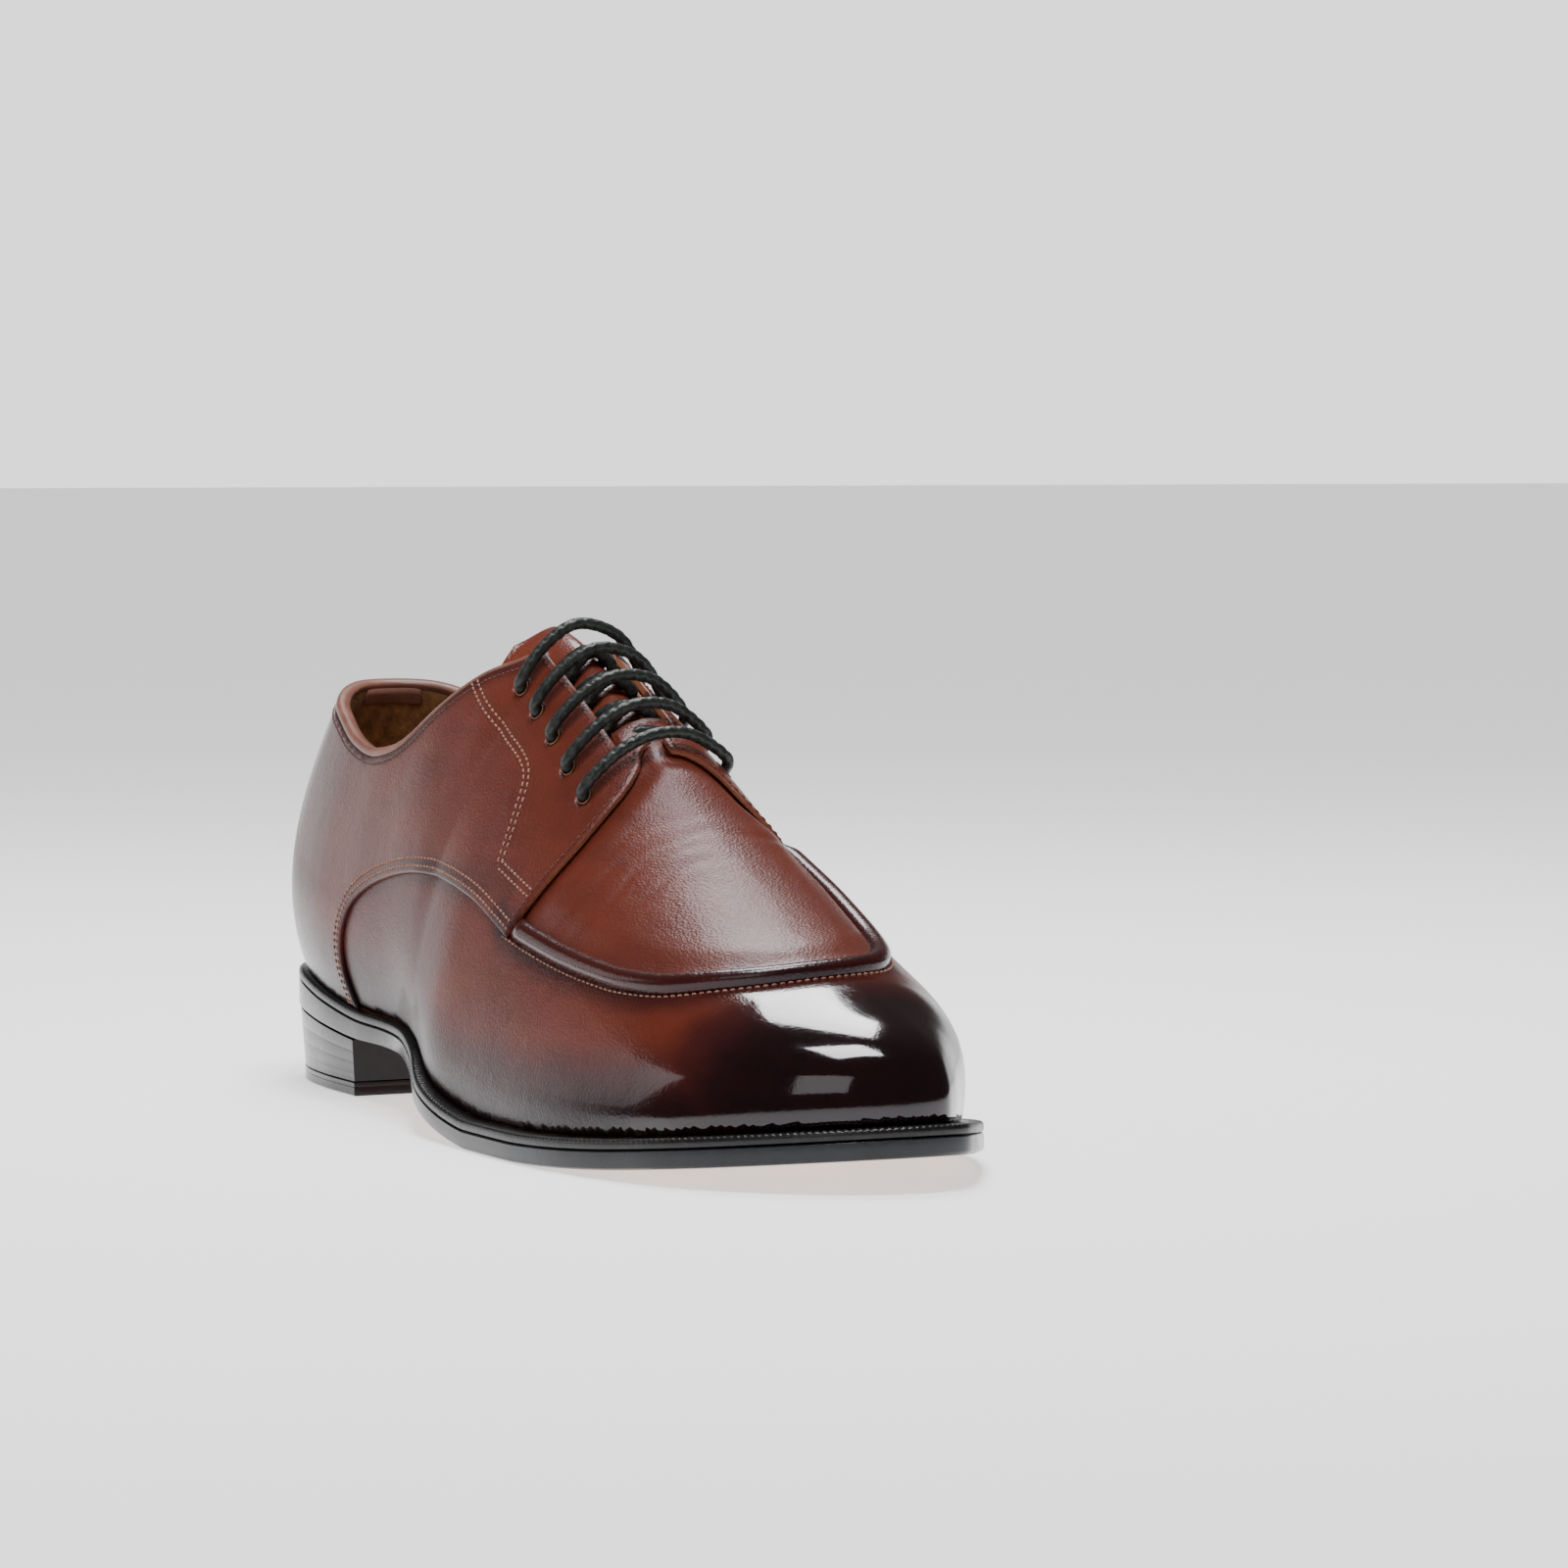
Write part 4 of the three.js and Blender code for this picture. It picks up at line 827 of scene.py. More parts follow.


# Creases across the apron and beside it: where, how long, how wide, how deep
CREASES = [
    (0.645, -24, 22, 2.6, -0.34, 0.10), (0.668, -20, 16, 2.2, -0.26, -0.05), (0.628, -16, 14, 2.0, -0.20, 0.12),
    (0.690, -10, 14, 2.2, -0.16, 0.02), (0.590, 0, 12, 3.0, -0.14, 0.15), (0.655, 22, 14, 2.6, -0.22, -0.10),
    (0.640, -50, 12, 3.4, -0.12, 0.25), (0.668, -54, 10, 3.0, -0.10, 0.20)]


def creases(u):
    depth = np.zeros(len(u))
    for at, across, half, width, deep, slant in CREASES:
        dx, dy = u[:, 0] - at * LENGTH, u[:, 1] - across
        along = dx * math.sin(slant) + dy * math.cos(slant)
        away = dx * math.cos(slant) - dy * math.sin(slant) + 1.2 * np.sin(along * 0.22)
        fade = np.exp(-(along / half)**2)
        trough = np.exp(-(away / (0.5 * width))**2)
        lips = np.exp(-((abs(away) - width) / width)**2)
        depth += fade * deep * (trough - 0.55 * lips)
    return depth


def under_quarter(u):
    """Signed distance ahead of the quarters' front edge, negative under them."""
    away = np.minimum(distance(u, quarter_line[0]), distance(u, quarter_line[1]))
    return np.where(inside(u, quarter_ring), -away, away)


ROLL = 5.0
root_x = 0.535 * LENGTH


seam_ahead = under_quarter(apron_seam) > -5.0
apron_core = apron_seam[seam_ahead]
root_y = np.linspace(throat_inner + 6, throat_outer - 6, 24)
root = seen_from_above(np.full(24, root_x), root_y)
apron_ring = np.vstack((apron_core, root))

# The apron's sheet: inside the roll, with its root running into the throat
apron_ring = ccw(resample(apron_ring, 0.8, closed=True))
vamp_low_s = np.linspace(HEEL_ARC + (0.232 - HEEL_POLE) * LENGTH,
                         AROUND - HEEL_ARC - (0.232 - HEEL_POLE) * LENGTH, 700)
vamp_low = unrolled(vamp_low_s, np.zeros(700))


def vamp_top(side):
    """Hidden top edge of the vamp, 5 mm under the quarter's foot."""
    line = foot_outer if side < 0 else foot_inner
    moved = shifted(line, -5.0 if side < 0 else 5.0)
    keep = inside(moved, quarter_ring)
    return moved[keep]


top_outer, top_inner = vamp_top(-1), vamp_top(1)
seam_out = shifted(apron_seam, 0.8)
vamp_ring = ccw(resample(np.vstack((vamp_low, top_inner[::-1], seam_out[::-1], top_outer)), 0.8, closed=True))


def quarter_low(u):
    cover = np.minimum(distance(u, quarter_line[0]), distance(u, quarter_line[1]))
    return -0.75 + 0.82 * smooth(9.0, 6.5, cover)


def eyelet_hole(at, across):
    centre = seen_from_above([at * LENGTH], [across * HALF_BALL])[0]
    turn = np.linspace(0, 2 * math.pi, 20, endpoint=False)
    return centre + 1.75 * np.c_[np.cos(turn), np.sin(turn)]


eyelet_holes = [eyelet_hole(at, across) for at, outer_y, inner_y in EYELETS for across in (outer_y, inner_y)]

quarter_height = lambda u: QUARTER + creases(u)
panel("quarters", quarter_ring, quarter_height, quarter_low, 1.7, calf, paint, 0.45, eyelet_holes,
      stands_for=("upper",))
panel("vamp", vamp_ring, creases, lambda u: np.full(len(u), -0.8), 1.7, calf, paint, 0.3)


def apron_height(u):
    ahead = under_quarter(u)
    seam = distance(u, apron_seam)
    pillow = 0.62 * smooth(ROLL + 0.5, ROLL + 7, seam)
    return -0.55 + (1.12 + pillow) * smooth(-0.5, 7.0, ahead) + creases(u) * smooth(0, 8, ahead)


panel("apron", apron_ring, apron_height, lambda u: np.full(len(u), -0.8), 1.3, calf, paint, 0.2)

# The rolled seam along the apron's edge
ROLL_SECTION = [(-0.5, -0.5), (-0.35, 0.35), (-0.1, 0.9), (0.05, 1.5), (0.35, 2.0), (0.9, 2.45), (1.6, 2.68),
                (2.4, 2.72), (3.2, 2.55), (3.9, 2.15), (4.5, 1.55), (4.85, 0.95), (5.05, 0.3), (5.1, -0.5)]


def apron_roll():
    line = resample(apron_seam[under_quarter(apron_seam) > -3.5], 1.0)
    s, v = located(line)
    points = look(skin, s, v)
    n = unit(look(normal, s, v))
    along = unit(np.gradient(points, axis=0))
    inward = unit(np.cross(n, along))
    fade = smooth(-2.5, 5.0, under_quarter(line))
    rings = []
    for k in range(len(line)):
        step = np.array([(a, b * (0.15 + 0.85 * fade[k]) if b > 0 else b) for a, b in ROLL_SECTION])
        step[:, 1] -= 0.5 * (1 - fade[k])
        rings.append(points[k] + step[:, :1] * inward[k] + step[:, 1:] * n[k])
    rings = np.array(rings)
    flat = rings.reshape(-1, 3)
    where = np.repeat(line, len(ROLL_SECTION), 0)
    values = paint(where, flat)
    values["tone"] = np.full(len(flat), 0.64) + 0.12 * smooth(0.78, 0.86, flat[:, 0] / LENGTH)
    values["polish"] = np.full(len(flat), 0.55)
    swept("apron_roll", rings[:, ::-1], calf,
          {k: q.reshape(len(line), -1)[:, ::-1].ravel() for k, q in values.items()})


apron_roll()

# The lining: one sheet inside, open at the collar and the throat
mouth = ccw(resample(np.vstack((collar, slot_outer, slot_inner[::-1])), 1.0, closed=True))
lining_ring = unrolled(np.linspace(0, AROUND, 620, endpoint=False), np.full(620, 0.0))
panel("lining", ccw(resample(lining_ring, 1.5, closed=True)), lambda u: np.full(len(u), -0.85),
      lambda u: np.full(len(u), -1.7), 3.0, lining_leather, paint, 0.2, [mouth])


def stitches(name, rows, pitch, material, thread=0.30, fill=0.68):
    """Rows of small raised stitches: each row is a line in the unrolled plane and its height."""
    starts, ends, lifts = [], [], []
    for line, height in rows:
        p = resample(line, pitch)
        a, b = p[:-1], p[1:]
        gap_share = (1 - fill) / 2
        starts.append(a + (b - a) * gap_share)
        ends.append(b - (b - a) * gap_share)
        lifts.append(height(0.5 * (a + b)) if callable(height) else np.full(len(a), height))
    a, b, lift = np.vstack(starts), np.vstack(ends), np.concatenate(lifts)
    runs = np.array([0.0, 0.12, 0.5, 0.88, 1.0])
    fat = np.array([0.25, 0.85, 1.0, 0.85, 0.25]) * thread
    rise_by = np.array([-0.25, 0.02, 0.12, 0.02, -0.25]) * thread / 0.3
    u = a[:, None] + (b - a)[:, None] * runs[:, None]
    flat = u.reshape(-1, 2)
    n = normal_at(flat).reshape(*u.shape[:2], 3)
    core = on_skin(flat, (lift[:, None] + rise_by).ravel()).reshape(*u.shape[:2], 3)
    along = unit(np.gradient(core, axis=1))
    across = unit(np.cross(n, along))
    turn = np.linspace(0, 2 * math.pi, 6, endpoint=False)
    rings = (core[:, :, None] + fat[:, None, None] * (np.cos(turn)[:, None] * across[:, :, None]
             + 0.8 * np.sin(turn)[:, None] * n[:, :, None]))
    count, n_rings, sides = rings.shape[:3]
    idx = np.arange(n_rings * sides).reshape(n_rings, sides)
    faces = [tuple(f) for f in np.stack((idx[:-1], np.roll(idx[:-1], -1, 1), np.roll(idx[1:], -1, 1), idx[1:]),
                                        -1).reshape(-1, 4)]
    faces += [tuple(idx[0][::-1]), tuple(idx[-1])]
    offset = n_rings * sides
    every = [tuple(v + k * offset for v in f) for k in range(count) for f in faces]
    add_mesh(name, rings.reshape(-1, 3), every, material)


on_quarter = lambda u: quarter_height(u) + 0.02
seam_visible = shifted(apron_seam, -1.1)
seam_visible = seam_visible[under_quarter(seam_visible) > 0.8]
FACING_STITCH = [(0.361, 0.905), (0.423, 0.819), (0.494, 0.729), (0.514, 0.644), (0.529, 0.548)]
FACING_TACK = [(0.529, 0.548), (0.556, 0.522), (0.584, 0.496)]
foot_rows, facing_rows, edge_rows = [], [], []
for way, line, front in ((-1, foot_outer, facing_outer), (1, foot_inner, facing_inner)):
    for gap_in in (1.5, 3.3):
        row = shifted(line, way * gap_in)
        foot_rows.append((row[inside(row, quarter_ring)], on_quarter))
    for shift in (-0.9, 0.9):
        row = shifted(side_curve(FACING_STITCH, way), shift)
        facing_rows.append((row[inside(row, quarter_ring)], on_quarter))
        row = shifted(side_curve(FACING_TACK, way), shift)
        facing_rows.append((row[inside(row, quarter_ring)], on_quarter))
    row = shifted(front, way * 1.6)
    edge_rows.append((row, on_quarter))
edge_rows.append((shifted(slot_outer, -1.6)[:-3], on_quarter))
edge_rows.append((shifted(slot_inner, 1.6)[:-3], on_quarter))
stitches("foot_stitches", foot_rows, 1.7, thread_tan, 0.27)
stitches("facing_stitches", facing_rows, 1.75, thread_light, 0.28, 0.62)
stitches("edge_stitches", edge_rows, 1.9, thread_dark, 0.24)
stitches("collar_stitches", [(shifted(collar, -2.3), on_quarter)], 1.5, thread_dark, 0.22)
stitches("apron_stitches", [(seam_visible, lambda u: creases(u) + 0.05)], 1.9, thread_tan, 0.27)


def collar_binding():
    """A soft bead over the cut edge of the collar."""
    line = resample(collar, 0.9)
    s, v = located(line)
    points = look(skin, s, v)
    n = unit(look(normal, s, v))
    along = unit(np.gradient(points, axis=0))
    upward = unit(np.cross(along, n))
    section = [(1.35, -1.5), (1.5, -0.6), (1.32, 0.15), (0.75, 0.62), (0.0, 0.78), (-0.75, 0.72),
               (-1.4, 0.35), (-1.85, -0.3), (-1.95, -1.4), (-1.6, -2.0), (0.9, -2.0)]
    slim = 1 - 0.45 * smooth(0.24, 0.33, points[:, 0] / LENGTH)
    thin = 0.75 + 0.25 * slim
    rings = np.array([[points[k] + (-0.25 + (a + 0.25) * thin[k]) * n[k] + b * slim[k] * upward[k]
                       for a, b in section] for k in range(len(line))])
    swept("collar_binding", rings[:, ::-1], binding_leather)


collar_binding()


# The tab folded over the back seam
def heel_tab():
    turns = np.linspace(-31, 31, 33)
    rings = []
    for degrees in turns:
        s = np.array([degrees / 90 * HEEL_ARC])
        v = topline_row(s)
        base = look(skin, s, v)[0]
        n = unit(look(normal, s, v))[0]
        down = unit(look(skin, s, v - 0.03)[0] - base)
        near_end = smooth(24, 31, abs(degrees))
        room = 0.95 - 0.25 * near_end

        def face(drop, out_by, up_by):
            p = look(skin, s, v)[0]
            if drop > 0:
                rib = rib_of(s, skin.reshape(COLUMNS, -1)).reshape(ROWS, 3)
                climb_by = np.linalg.norm(np.diff(rib, axis=0), axis=1).mean() * (ROWS - 1)
                p = look(skin, s, v - drop / climb_by)[0]
            return p + n * out_by - down * up_by

        outside = [face(d, QUARTER + room, 0) for d in (9.0, 7.0, 5.0, 3.0, 1.4)]
        bend = [face(0, QUARTER + 0.75 * room, 0.55 * room), face(0, QUARTER * 0.4, 1.15 * room),
                face(0, -WALL * 0.5, 1.15 * room), face(0, -WALL - 0.7 * room, 0.6 * room)]
        within = [face(d, -WALL - room, 0) for d in (0.8, 1.8, 2.6, 3.4)]
        back_in = [face(d, -WALL - 0.25, 0) for d in (3.4, 2.4, 1.2)]
        crown = [face(0, -WALL + 0.2, 0.2), face(0, QUARTER - 0.2, 0.2)]
        back_out = [face(d, QUARTER + 0.15, 0) for d in (2.0, 5.0, 9.0)]
        rings.append(outside + bend + within + back_in + crown + back_out)
    swept("heel_tab_leather", np.array(rings), binding_leather, stands_for=("heel_tab",))


heel_tab()
tab_rows = []
for way in (-1, 1):
    row_s = np.full(12, way * 28.0 / 90 * HEEL_ARC)
    top_v = topline_row(row_s)
    tab_rows.append((unrolled(row_s, top_v - np.linspace(0.004, 0.11, 12)), QUARTER + 0.92))
stitches("tab_stitches", tab_rows, 1.8, thread_dark, 0.26)


# The tongue
TONGUE = np.array([(0.358, 0.700, 0.0), (0.362, 1.000, 0.0), (0.370, 1.200, 0.1), (0.384, 1.300, 0.3),
                   (0.400, 1.320, 0.5), (0.430, 1.280, 0.9), (0.500, 1.250, 1.0), (0.560, 1.250, 1.0),
                   (0.598, 1.200, 0.0), (0.622, 1.150, 0.0)])


def skin_height_at(x, y):
    u = seen_from_above(x, y)
    return on_skin(u), normal_at(u)


TONGUE_ROWS = 70
TONGUE_COLUMNS = 31


def tongue():
    key = 0.358 + (0.622 - 0.358) * np.linspace(0, 1, TONGUE_ROWS) ** 1.4
    across = np.linspace(-1, 1, TONGUE_COLUMNS)
    on = np.maximum(key, 0.432)
    half = THROAT * track(TONGUE, 1, key)
    x = np.repeat(on * LENGTH, TONGUE_COLUMNS)
    y = throat_middle + (across * half[:, None]).ravel()
    p, n = skin_height_at(x, y)
    p[:, 0] += np.repeat((key - on) * LENGTH, TONGUE_COLUMNS)
    p[:, 2] += np.repeat(ridge_z(key) - ridge_z(on), TONGUE_COLUMNS)
    lift = np.repeat(smooth(0.445, 0.385, key), TONGUE_COLUMNS)
    p[:, 2] += (0.8 + 3.2 * np.tile(across, TONGUE_ROWS)**2) * lift
    depth = np.repeat(WALL + GAP + 1.2 * track(TONGUE, 2, key), TONGUE_COLUMNS)
    edge = abs(np.tile(across, TONGUE_ROWS)) > 0.99
    top_edge = np.repeat(np.arange(TONGUE_ROWS) == 0, TONGUE_COLUMNS)
    rim = (edge | top_edge) * 0.25
    over = (p - n * (depth + rim)[:, None]).reshape(TONGUE_ROWS, TONGUE_COLUMNS, 3)
    below = (p - n * (depth + 1.8 - rim)[:, None]).reshape(TONGUE_ROWS, TONGUE_COLUMNS, 3)
    rings = np.concatenate((over, below[:, ::-1]), axis=1)
    tone = np.full(rings.shape[:2], 0.30)
    tone[:, TONGUE_COLUMNS:] = 0.1
    edge_value = np.zeros(rings.shape[:2])
    edge_value[:, TONGUE_COLUMNS:] = 0.8
    swept("tongue_leather", rings, calf,
          {"tone": tone.ravel(), "polish": np.full(tone.size, 0.45), "edge": edge_value.ravel()},
          stands_for=("tongue",))


tongue()


# Soles
def cut_ring(distance_in, breast=None, points=260):
    """The outline moved inwards; behind a breast line only where one is given."""
    ring = inset(distance_in)
    if breast is None:
        return resample(ring, 760.0 / 500, closed=True)[:480]
    k = np.argmax(ring[:, 0])
    path = np.roll(ring, -k, 0)
    behind = path[:, 0] < breast
    first = np.argmax(behind)
    last = len(behind) - np.argmax(behind[::-1])

    def crossing(a, b):
        return a + (b - a) * (breast - a[0]) / (b[0] - a[0])

    path = np.vstack((crossing(path[first - 1], path[first]), path[first:last],
                      crossing(path[last - 1], path[last])))
    run = np.concatenate(([0], np.cumsum(np.linalg.norm(np.diff(path, axis=0), axis=1))))
    at = np.linspace(0, run[-1], points)
    path = np.stack([np.interp(at, run, path[:, q]) for q in range(2)], -1)
    return np.vstack((path, np.linspace(path[-1], path[0], 30)[1:-1]))


def full_ring(distance_in):
    return inset(distance_in, wide_outline)


wide_outline = catmull(np.vstack((outer_knots, inner_knots)), 28, closed=True)


def slab(name, levels, material, stands_for, spacing=5.0, bottom=None, sharp=None):
    """A closed plate through rings from its top face to its bottom face."""
    rings = [ccw(ring) for ring, _ in levels]
    top, top_faces, top_loops = triangulated(rings[0], [], spacing)
    low, low_faces, low_loops = triangulated(rings[-1], [], spacing)
    points = [np.c_[top, levels[0][1](top[:, 0] / LENGTH)]]
    start = len(top)
    index = [top_loops[0]]
    for ring, (_, height) in list(zip(rings, levels))[1:-1]:
        points.append(np.c_[ring, height(ring[:, 0] / LENGTH)])
        index.append(np.arange(start, start + len(ring)))
        start += len(ring)
    points.append(np.c_[low, levels[-1][1](low[:, 0] / LENGTH)])
    index.append(low_loops[0] + start)
    faces = [tuple(f) for f in top_faces]
    for a, b in zip(index, index[1:]):
        faces += [tuple(f) for f in np.stack((a, b, np.roll(b, -1), np.roll(a, -1)), -1)]
    sides_end = len(faces)
    faces += [tuple(f) for f in low_faces[:, ::-1] + start]
    obj = add_mesh(name, np.vstack(points), faces, material, stands_for=stands_for, sharp=sharp)
    if bottom:
        obj.data.materials.append(bottom)
        index_of = np.zeros(len(obj.data.polygons), np.int32)
        index_of[sides_end:] = 1
        obj.data.polygons.foreach_set("material_index", index_of)
    return obj


def flat(z):
    return lambda at: np.full(np.shape(at), float(z))


def over_floor(base, extra):
    return lambda at: base(at) + extra


outsole_top = lambda at: seat(at) - WELT - GAP
slab("outsole_leather", [
    (full_ring(0.30), over_floor(outsole_top, 0.0)), (full_ring(0.05), over_floor(outsole_top, -0.25)),
    (full_ring(0.0), over_floor(outsole_top, -1.1)), (full_ring(0.0), lambda at: under(at) + 1.0),
    (full_ring(0.22), lambda at: under(at) + 0.45), (full_ring(0.75), lambda at: under(at) + 0.12),
    (full_ring(1.1), under), (full_ring(2.2), under)],
    sole_black, ("outsole",), 5.0, sole_tan, 35)

BREAST = 0.233 * LENGTH


def heel_levels():
    """Rings down the heel block, with a fine groove between its layers."""
    shares = [(1.0, 0.04), (0.985, 0.0)]
    for joint in (0.72, 0.45, 0.20):
        shares += [(joint + 0.012, 0.0), (joint, 0.05), (joint - 0.012, 0.0)]
    shares += [(0.015, 0.0), (0.0, 0.04)]
    levels = []
    for part, dent in shares:
        z = (lambda q: lambda at: (LIFT + GAP) * (1 - q) + (under(at) - GAP) * q)(part)
        levels.append((cut_ring(0.4 + 1.1 * (1 - part) + dent, BREAST - 1.5 * (1 - part)), z))
    return levels


slab("heel_leather", heel_levels(), sole_black, ("heel_stack",), 6.0, None, 35)
slab("lift_rubber", [
    (cut_ring(1.55, BREAST - 1.5), flat(LIFT)), (cut_ring(1.4, BREAST - 1.45), flat(LIFT - 0.15)),
    (cut_ring(1.42, BREAST - 1.5), flat(LIFT - 1.1)), (cut_ring(1.55, BREAST - 1.6), flat(LIFT - 1.2)),
    (cut_ring(1.45, BREAST - 1.55), flat(LIFT - 1.3)), (cut_ring(1.5, BREAST - 1.6), flat(0.35)),
    (cut_ring(1.85, BREAST - 1.9), flat(0.0))], sole_black, ("top_lift",), 6.0, None, 35)

insole_ring = resample(inset(feather_inset(wide_outline) + WALL + 0.6 + 0.9, wide_outline), 1.6, closed=True)
slab("sock", [
    (ring_inset(insole_ring, 0.5), lambda at: seat(at) - WELT + 3.0),
    (insole_ring, lambda at: seat(at) - WELT + 2.6),
    (insole_ring, lambda at: seat(at) - WELT + 0.2),
    (ring_inset(insole_ring, 0.3), lambda at: seat(at) - WELT)],
    sock_leather, ("insole",), 5.0, None, 35)


def welt():
    line = resample(wide_outline, 0.40, closed=True)
    line = line[:len(line) // 4 * 4]
    within = inset(feather_inset(line) + WALL + 0.6, line)
    top = seat(line[:, 0] / LENGTH)
    deep = seat(within[:, 0] / LENGTH)
    inward = unit(within - line)
    wide = np.linalg.norm(within - line, axis=1)
    notch = 0.30 * np.isin(np.arange(len(line)) % 4, (0,)) * smooth(0.25, 0.32, line[:, 0] / LENGTH)

    def at_depth(share_in, z):
        return np.c_[line + inward * np.reshape(share_in, (-1, 1)), z]

    reach_in = np.minimum(3.2, 0.6 * wide)
    rings = np.stack((
        at_depth(wide, deep), at_depth(reach_in, top * 0.5 + deep * 0.5), at_depth(reach_in - 0.5, top - notch),
        at_depth(0.9 + 0 * top, top - notch), at_depth(0.45 + 0 * top, top - 0.10 - notch),
        at_depth(0.08 + 0 * top, top - 0.5), at_depth(0 * top, top - 1.1),
        at_depth(0.05 + 0 * top, top - WELT + 0.2),
        at_depth(0.3 + 0 * top, top - WELT), at_depth(wide, deep - WELT)), axis=1)
    swept("welt_leather", rings, welt_black, stands_for=("welt",), closed=True)


welt()


# Laces: bars over the throat and the runs between them below
def braided(name, points, stands_for):
    line = resample(catmull(points, 24), 0.30)
    sides = 20
    rings = tube_sections(line, 1.0, sides) - line[:, None]
    run = np.arange(len(line))[:, None] * 0.30
    turn = np.linspace(0, 2 * math.pi, sides, endpoint=False)[None]
    weave = np.maximum(np.sin(run * 2.3 + 3 * turn), np.sin(run * 2.3 - 3 * turn))
    radius = LACE / 2 * (0.97 + 0.07 * weave)
    taper = smooth(-0.3, 1.2, np.minimum(run, run[::-1]))
    rings = line[:, None] + rings * (radius * (0.6 + 0.4 * taper))[..., None]
    swept(name, rings, lace_wax, stands_for=stands_for)


def place_on(at, y, height):
    p, n = skin_height_at([at * LENGTH], [y])
    return p[0] + n[0] * height, n[0]


def lace_bar(k, at, outer_y, inner_y):
    over_facing = QUARTER + GAP
    ends = []
    for here, there in ((outer_y, inner_y), (inner_y, outer_y)):
        p, n = place_on(at, here * HALF_BALL, 0)
        q, _ = place_on(at, there * HALF_BALL, 0)
        toward = q - p
        toward = unit(toward - n * np.dot(toward, n))
        ends.append([p - n * 2.6 - toward * 0.5, p - n * 0.3 - toward * 0.4,
                     p + n * (over_facing + 0.9) + toward * 0.2,
                     p + n * (over_facing + 2.0) + toward * 2.0])
    over = [place_on(at, throat_middle + e * THROAT / 2, over_facing + h)[0]
            for e, h in ((-1, 2.7), (0, 2.7), (1, 2.7))]
    braided(f"lace_over_{k}", np.array(ends[0] + over + ends[1][::-1]), (f"lace_bar_{k}",))


def lace_cross(k, before, after):
    margin = LACE / 2 + 0.9
    edge = THROAT / 2 - margin
    deep = -(WALL + 1.2) + LACE / 2 + GAP
    start, finish = before + 0.25 * (after - before), after - 0.25 * (after - before)
    finish = min(finish, (throat_end - margin) / LENGTH)
    for side in (-1, 1):
        points = [place_on(start + (finish - start) * q, throat_middle + side * (edge + 2.6) * (2 * q - 1),
                           deep + h + (0.9 if side > 0 and q == 0.5 else 0))[0]
                  for q, h in ((0, -1.3), (0.18, 0.2), (0.5, 0.2), (0.82, 0.2), (1, -1.3))]
        which = "outer" if side < 0 else "inner"
        braided(f"lace_under_{k}_{which}", np.array(points), (f"lace_cross_{k}",))


for k, (at, outer_y, inner_y) in enumerate(EYELETS, 1):
    lace_bar(k, at, outer_y, inner_y)
for k in range(1, len(EYELETS)):
    lace_cross(k, EYELETS[k - 1][0], EYELETS[k][0])


def eyelet_rims():
    """A worn, lighter lip round each hole."""
    points, faces, start = [], [], 0
    for hole in eyelet_holes:
        ring = hole.mean(0) + (hole - hole.mean(0)) * 1.08
        n = normal_at(ring)
        base = on_skin(ring, QUARTER + creases(ring))
        outward = unit(base - base.mean(0))
        turn = np.linspace(0, 2 * math.pi, 8, endpoint=False)
        round_it = np.cos(turn)[:, None] * outward[:, None] + np.sin(turn)[:, None] * n[:, None]
        tube = base[:, None] + 0.22 * round_it
        idx = np.arange(tube.shape[0] * 8).reshape(-1, 8) + start
        faces += [tuple(f) for f in np.stack((idx, np.roll(idx, -1, 1), np.roll(np.roll(idx, -1, 0), -1, 1),
                                              np.roll(idx, -1, 0)), -1).reshape(-1, 4)]
        points.append(tube.reshape(-1, 3))
        start += tube.shape[0] * 8
    add_mesh("eyelet_lips", np.vstack(points), faces, edge_leather)


eyelet_rims()

# Floor, lights and camera
floor_material = plain_leather("floor_paper", [(0.0, (0.86, 0.86, 0.86)), (1.0, (0.88, 0.88, 0.88))],
                               0.8, 3.0, 0.0)
floor_mesh = bpy.data.meshes.new("floor")
floor_mesh.from_pydata([(-30, -30, 0), (30, -30, 0), (30, 30, 0), (-30, 30, 0)], [], [(0, 1, 2, 3)])
floor = bpy.data.objects.new("floor", floor_mesh)
bpy.context.collection.objects.link(floor)
floor_mesh.materials.append(floor_material)
floor_shader = floor_material.node_tree.nodes["Principled BSDF"]
floor_shader.inputs["Emission Color"].default_value = (1, 1, 1, 1)
floor_shader.inputs["Emission Strength"].default_value = 1.0
floor_shader.inputs["Specular IOR Level"].default_value = 0.1

world = bpy.data.worlds.new("studio")
bpy.context.scene.world = world
world.use_nodes = True
sky = world.node_tree
direction = sky.nodes.new("ShaderNodeTexCoord").outputs["Generated"]


def facing_way(x, y, z):
    dot = sky.nodes.new("ShaderNodeVectorMath")
    dot.operation = "DOT_PRODUCT"
    sky.links.new(direction, dot.inputs[0])
    dot.inputs[1].default_value = (x, y, z)
    return dot.outputs["Value"]


def band_of(value, low, high, a, b):
    made = sky.nodes.new("ShaderNodeMapRange")
    made.interpolation_type = "SMOOTHSTEP"
    for label, number in (("From Min", low), ("From Max", high), ("To Min", a), ("To Max", b)):
        made.inputs[label].default_value = number
    sky.links.new(value, made.inputs["Value"])
    return made.outputs["Result"]


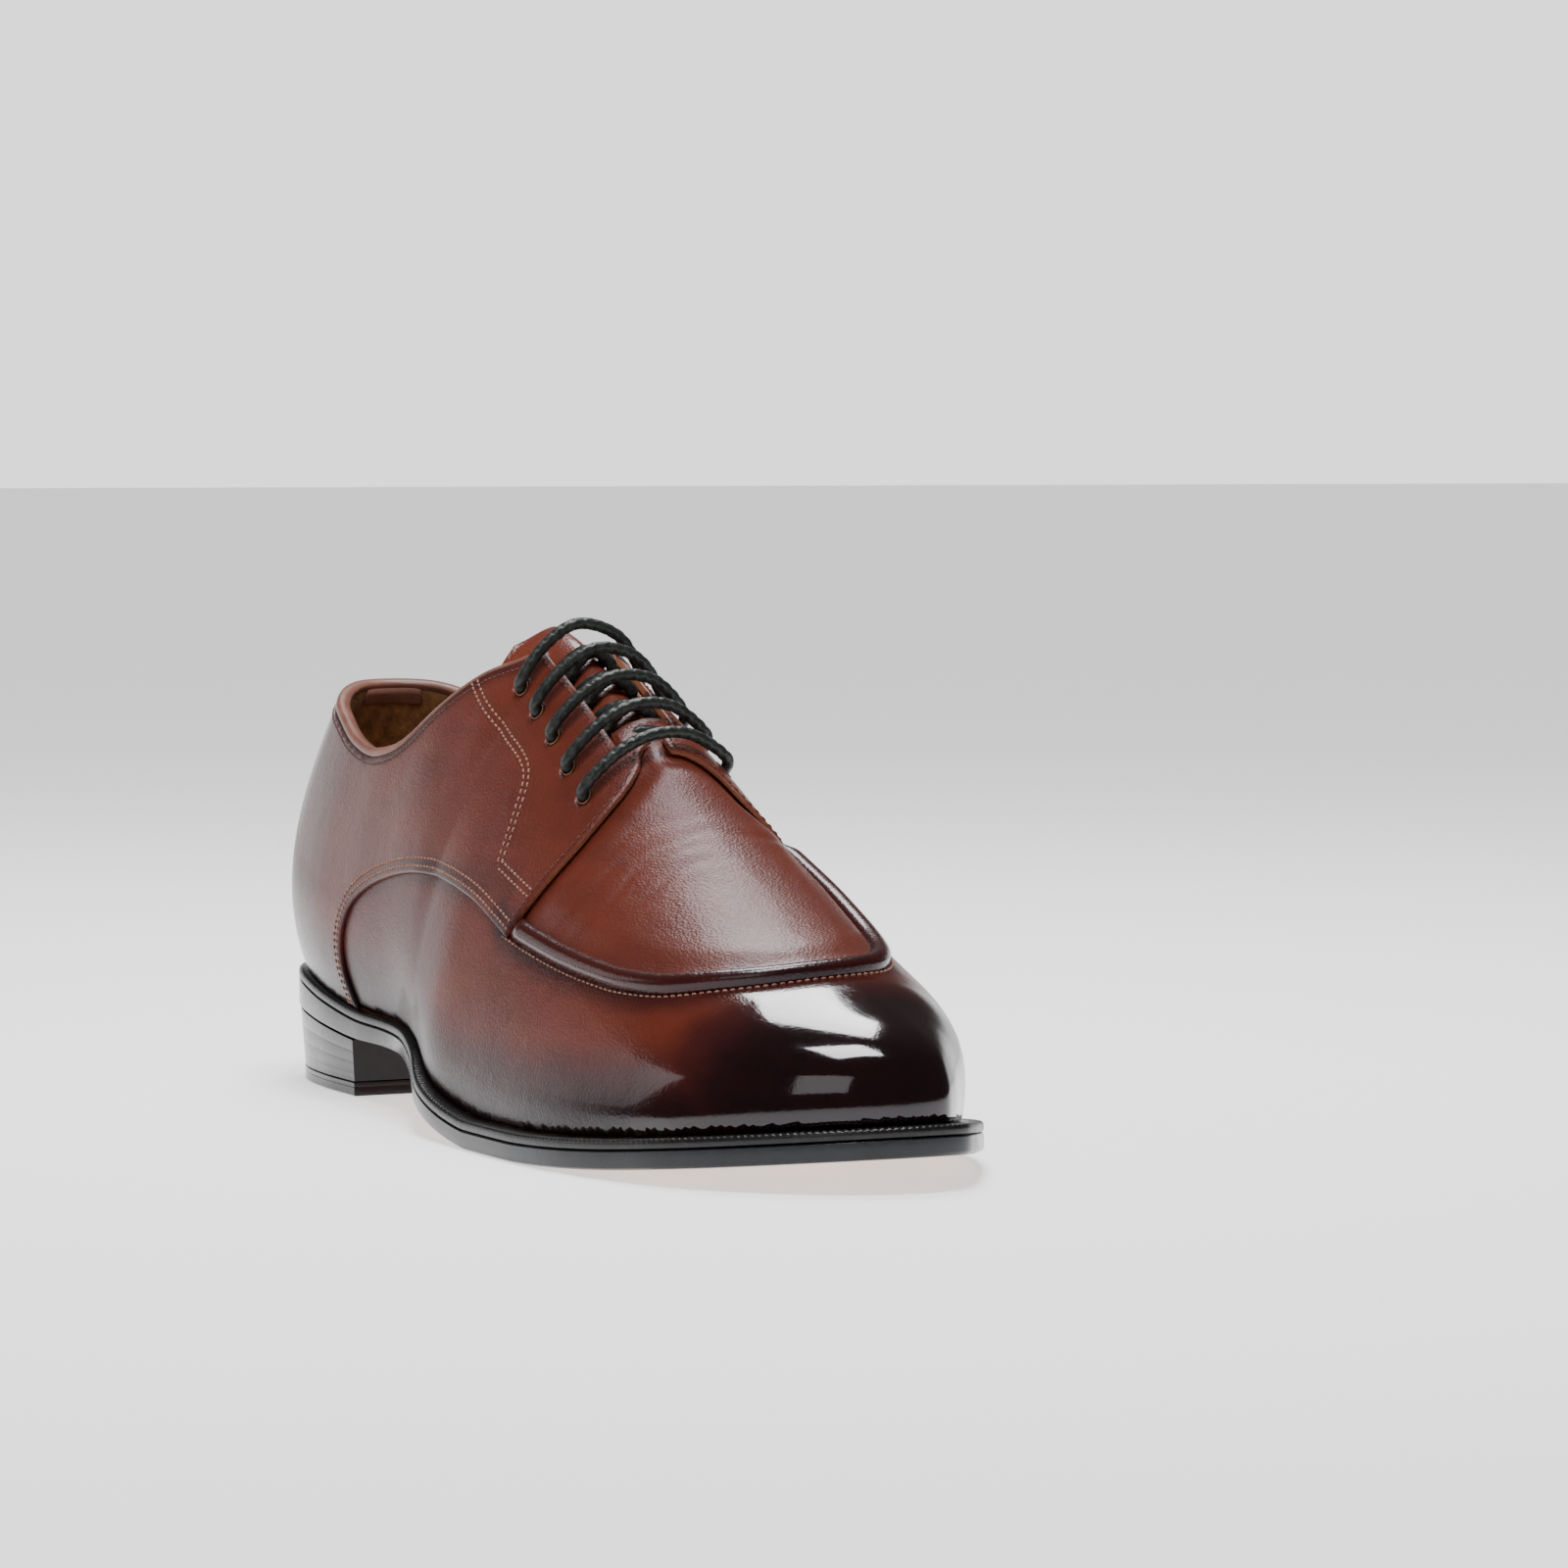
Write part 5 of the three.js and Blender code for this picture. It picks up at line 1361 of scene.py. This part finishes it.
behind = band_of(facing_way(-0.97, 0.24, 0.0), 0.45, 0.85, 0.0, 1.0)
low_sky = band_of(facing_way(0.0, 0.0, 1.0), 0.12, 0.30, 1.0, 0.0)
glow = maths(sky, "MULTIPLY", behind, low_sky)
strength = maths(sky, "ADD", maths(sky, "MULTIPLY", glow, 1.7), 0.07)
sky.nodes["Background"].inputs[0].default_value = (1, 1, 1, 1)
sky.links.new(strength, sky.nodes["Background"].inputs[1])


def softbox(name, where, aim, size, power, height=None):
    data = bpy.data.lights.new(name, "AREA")
    data.energy = power
    data.shape = "RECTANGLE"
    data.size = size
    data.size_y = height or size
    lamp = bpy.data.objects.new(name, data)
    bpy.context.collection.objects.link(lamp)
    lamp.location = where
    lamp.rotation_euler = (Vector(aim) - Vector(where)).to_track_quat("-Z", "Y").to_euler()


softbox("top", (0.22, 0.00, 0.95), (0.10, 0, 0.04), 0.36, 9, 0.30)
softbox("back", (-0.40, 0.25, 1.00), (0.05, 0, 0.05), 0.42, 8, 0.36)
softbox("left", (-0.75, -0.95, 0.50), (0.00, 0, 0.05), 0.70, 2.5, 0.70)
softbox("front", (1.60, -1.30, 1.30), (0.10, 0, 0.05), 1.10, 8, 1.10)

YAW, PITCH, ROLL_ANGLE = map(math.radians, (26.0, 3.20, -0.06))
forward_way = Vector((-math.cos(YAW) * math.cos(PITCH), math.sin(YAW) * math.cos(PITCH), -math.sin(PITCH)))
right_way = Vector((math.sin(YAW), math.cos(YAW), 0))
up_way = right_way.cross(forward_way)
lens = bpy.data.cameras.new("camera")
lens.sensor_width = 36.0
lens.lens = 5917.0 / 1600.0 * 36.0
lens.clip_start = 0.05
lens.clip_end = 100.0
camera = bpy.data.objects.new("camera", lens)
bpy.context.collection.objects.link(camera)
r = right_way * math.cos(ROLL_ANGLE) + up_way * math.sin(ROLL_ANGLE)
u_way = up_way * math.cos(ROLL_ANGLE) - right_way * math.sin(ROLL_ANGLE)
camera.matrix_world = Matrix((
    (r.x, u_way.x, -forward_way.x, (1382.6 - TREAD) / 1000),
    (r.y, u_way.y, -forward_way.y, -0.5549),
    (r.z, u_way.z, -forward_way.z, 0.1554),
    (0, 0, 0, 1)))
bpy.context.scene.camera = camera
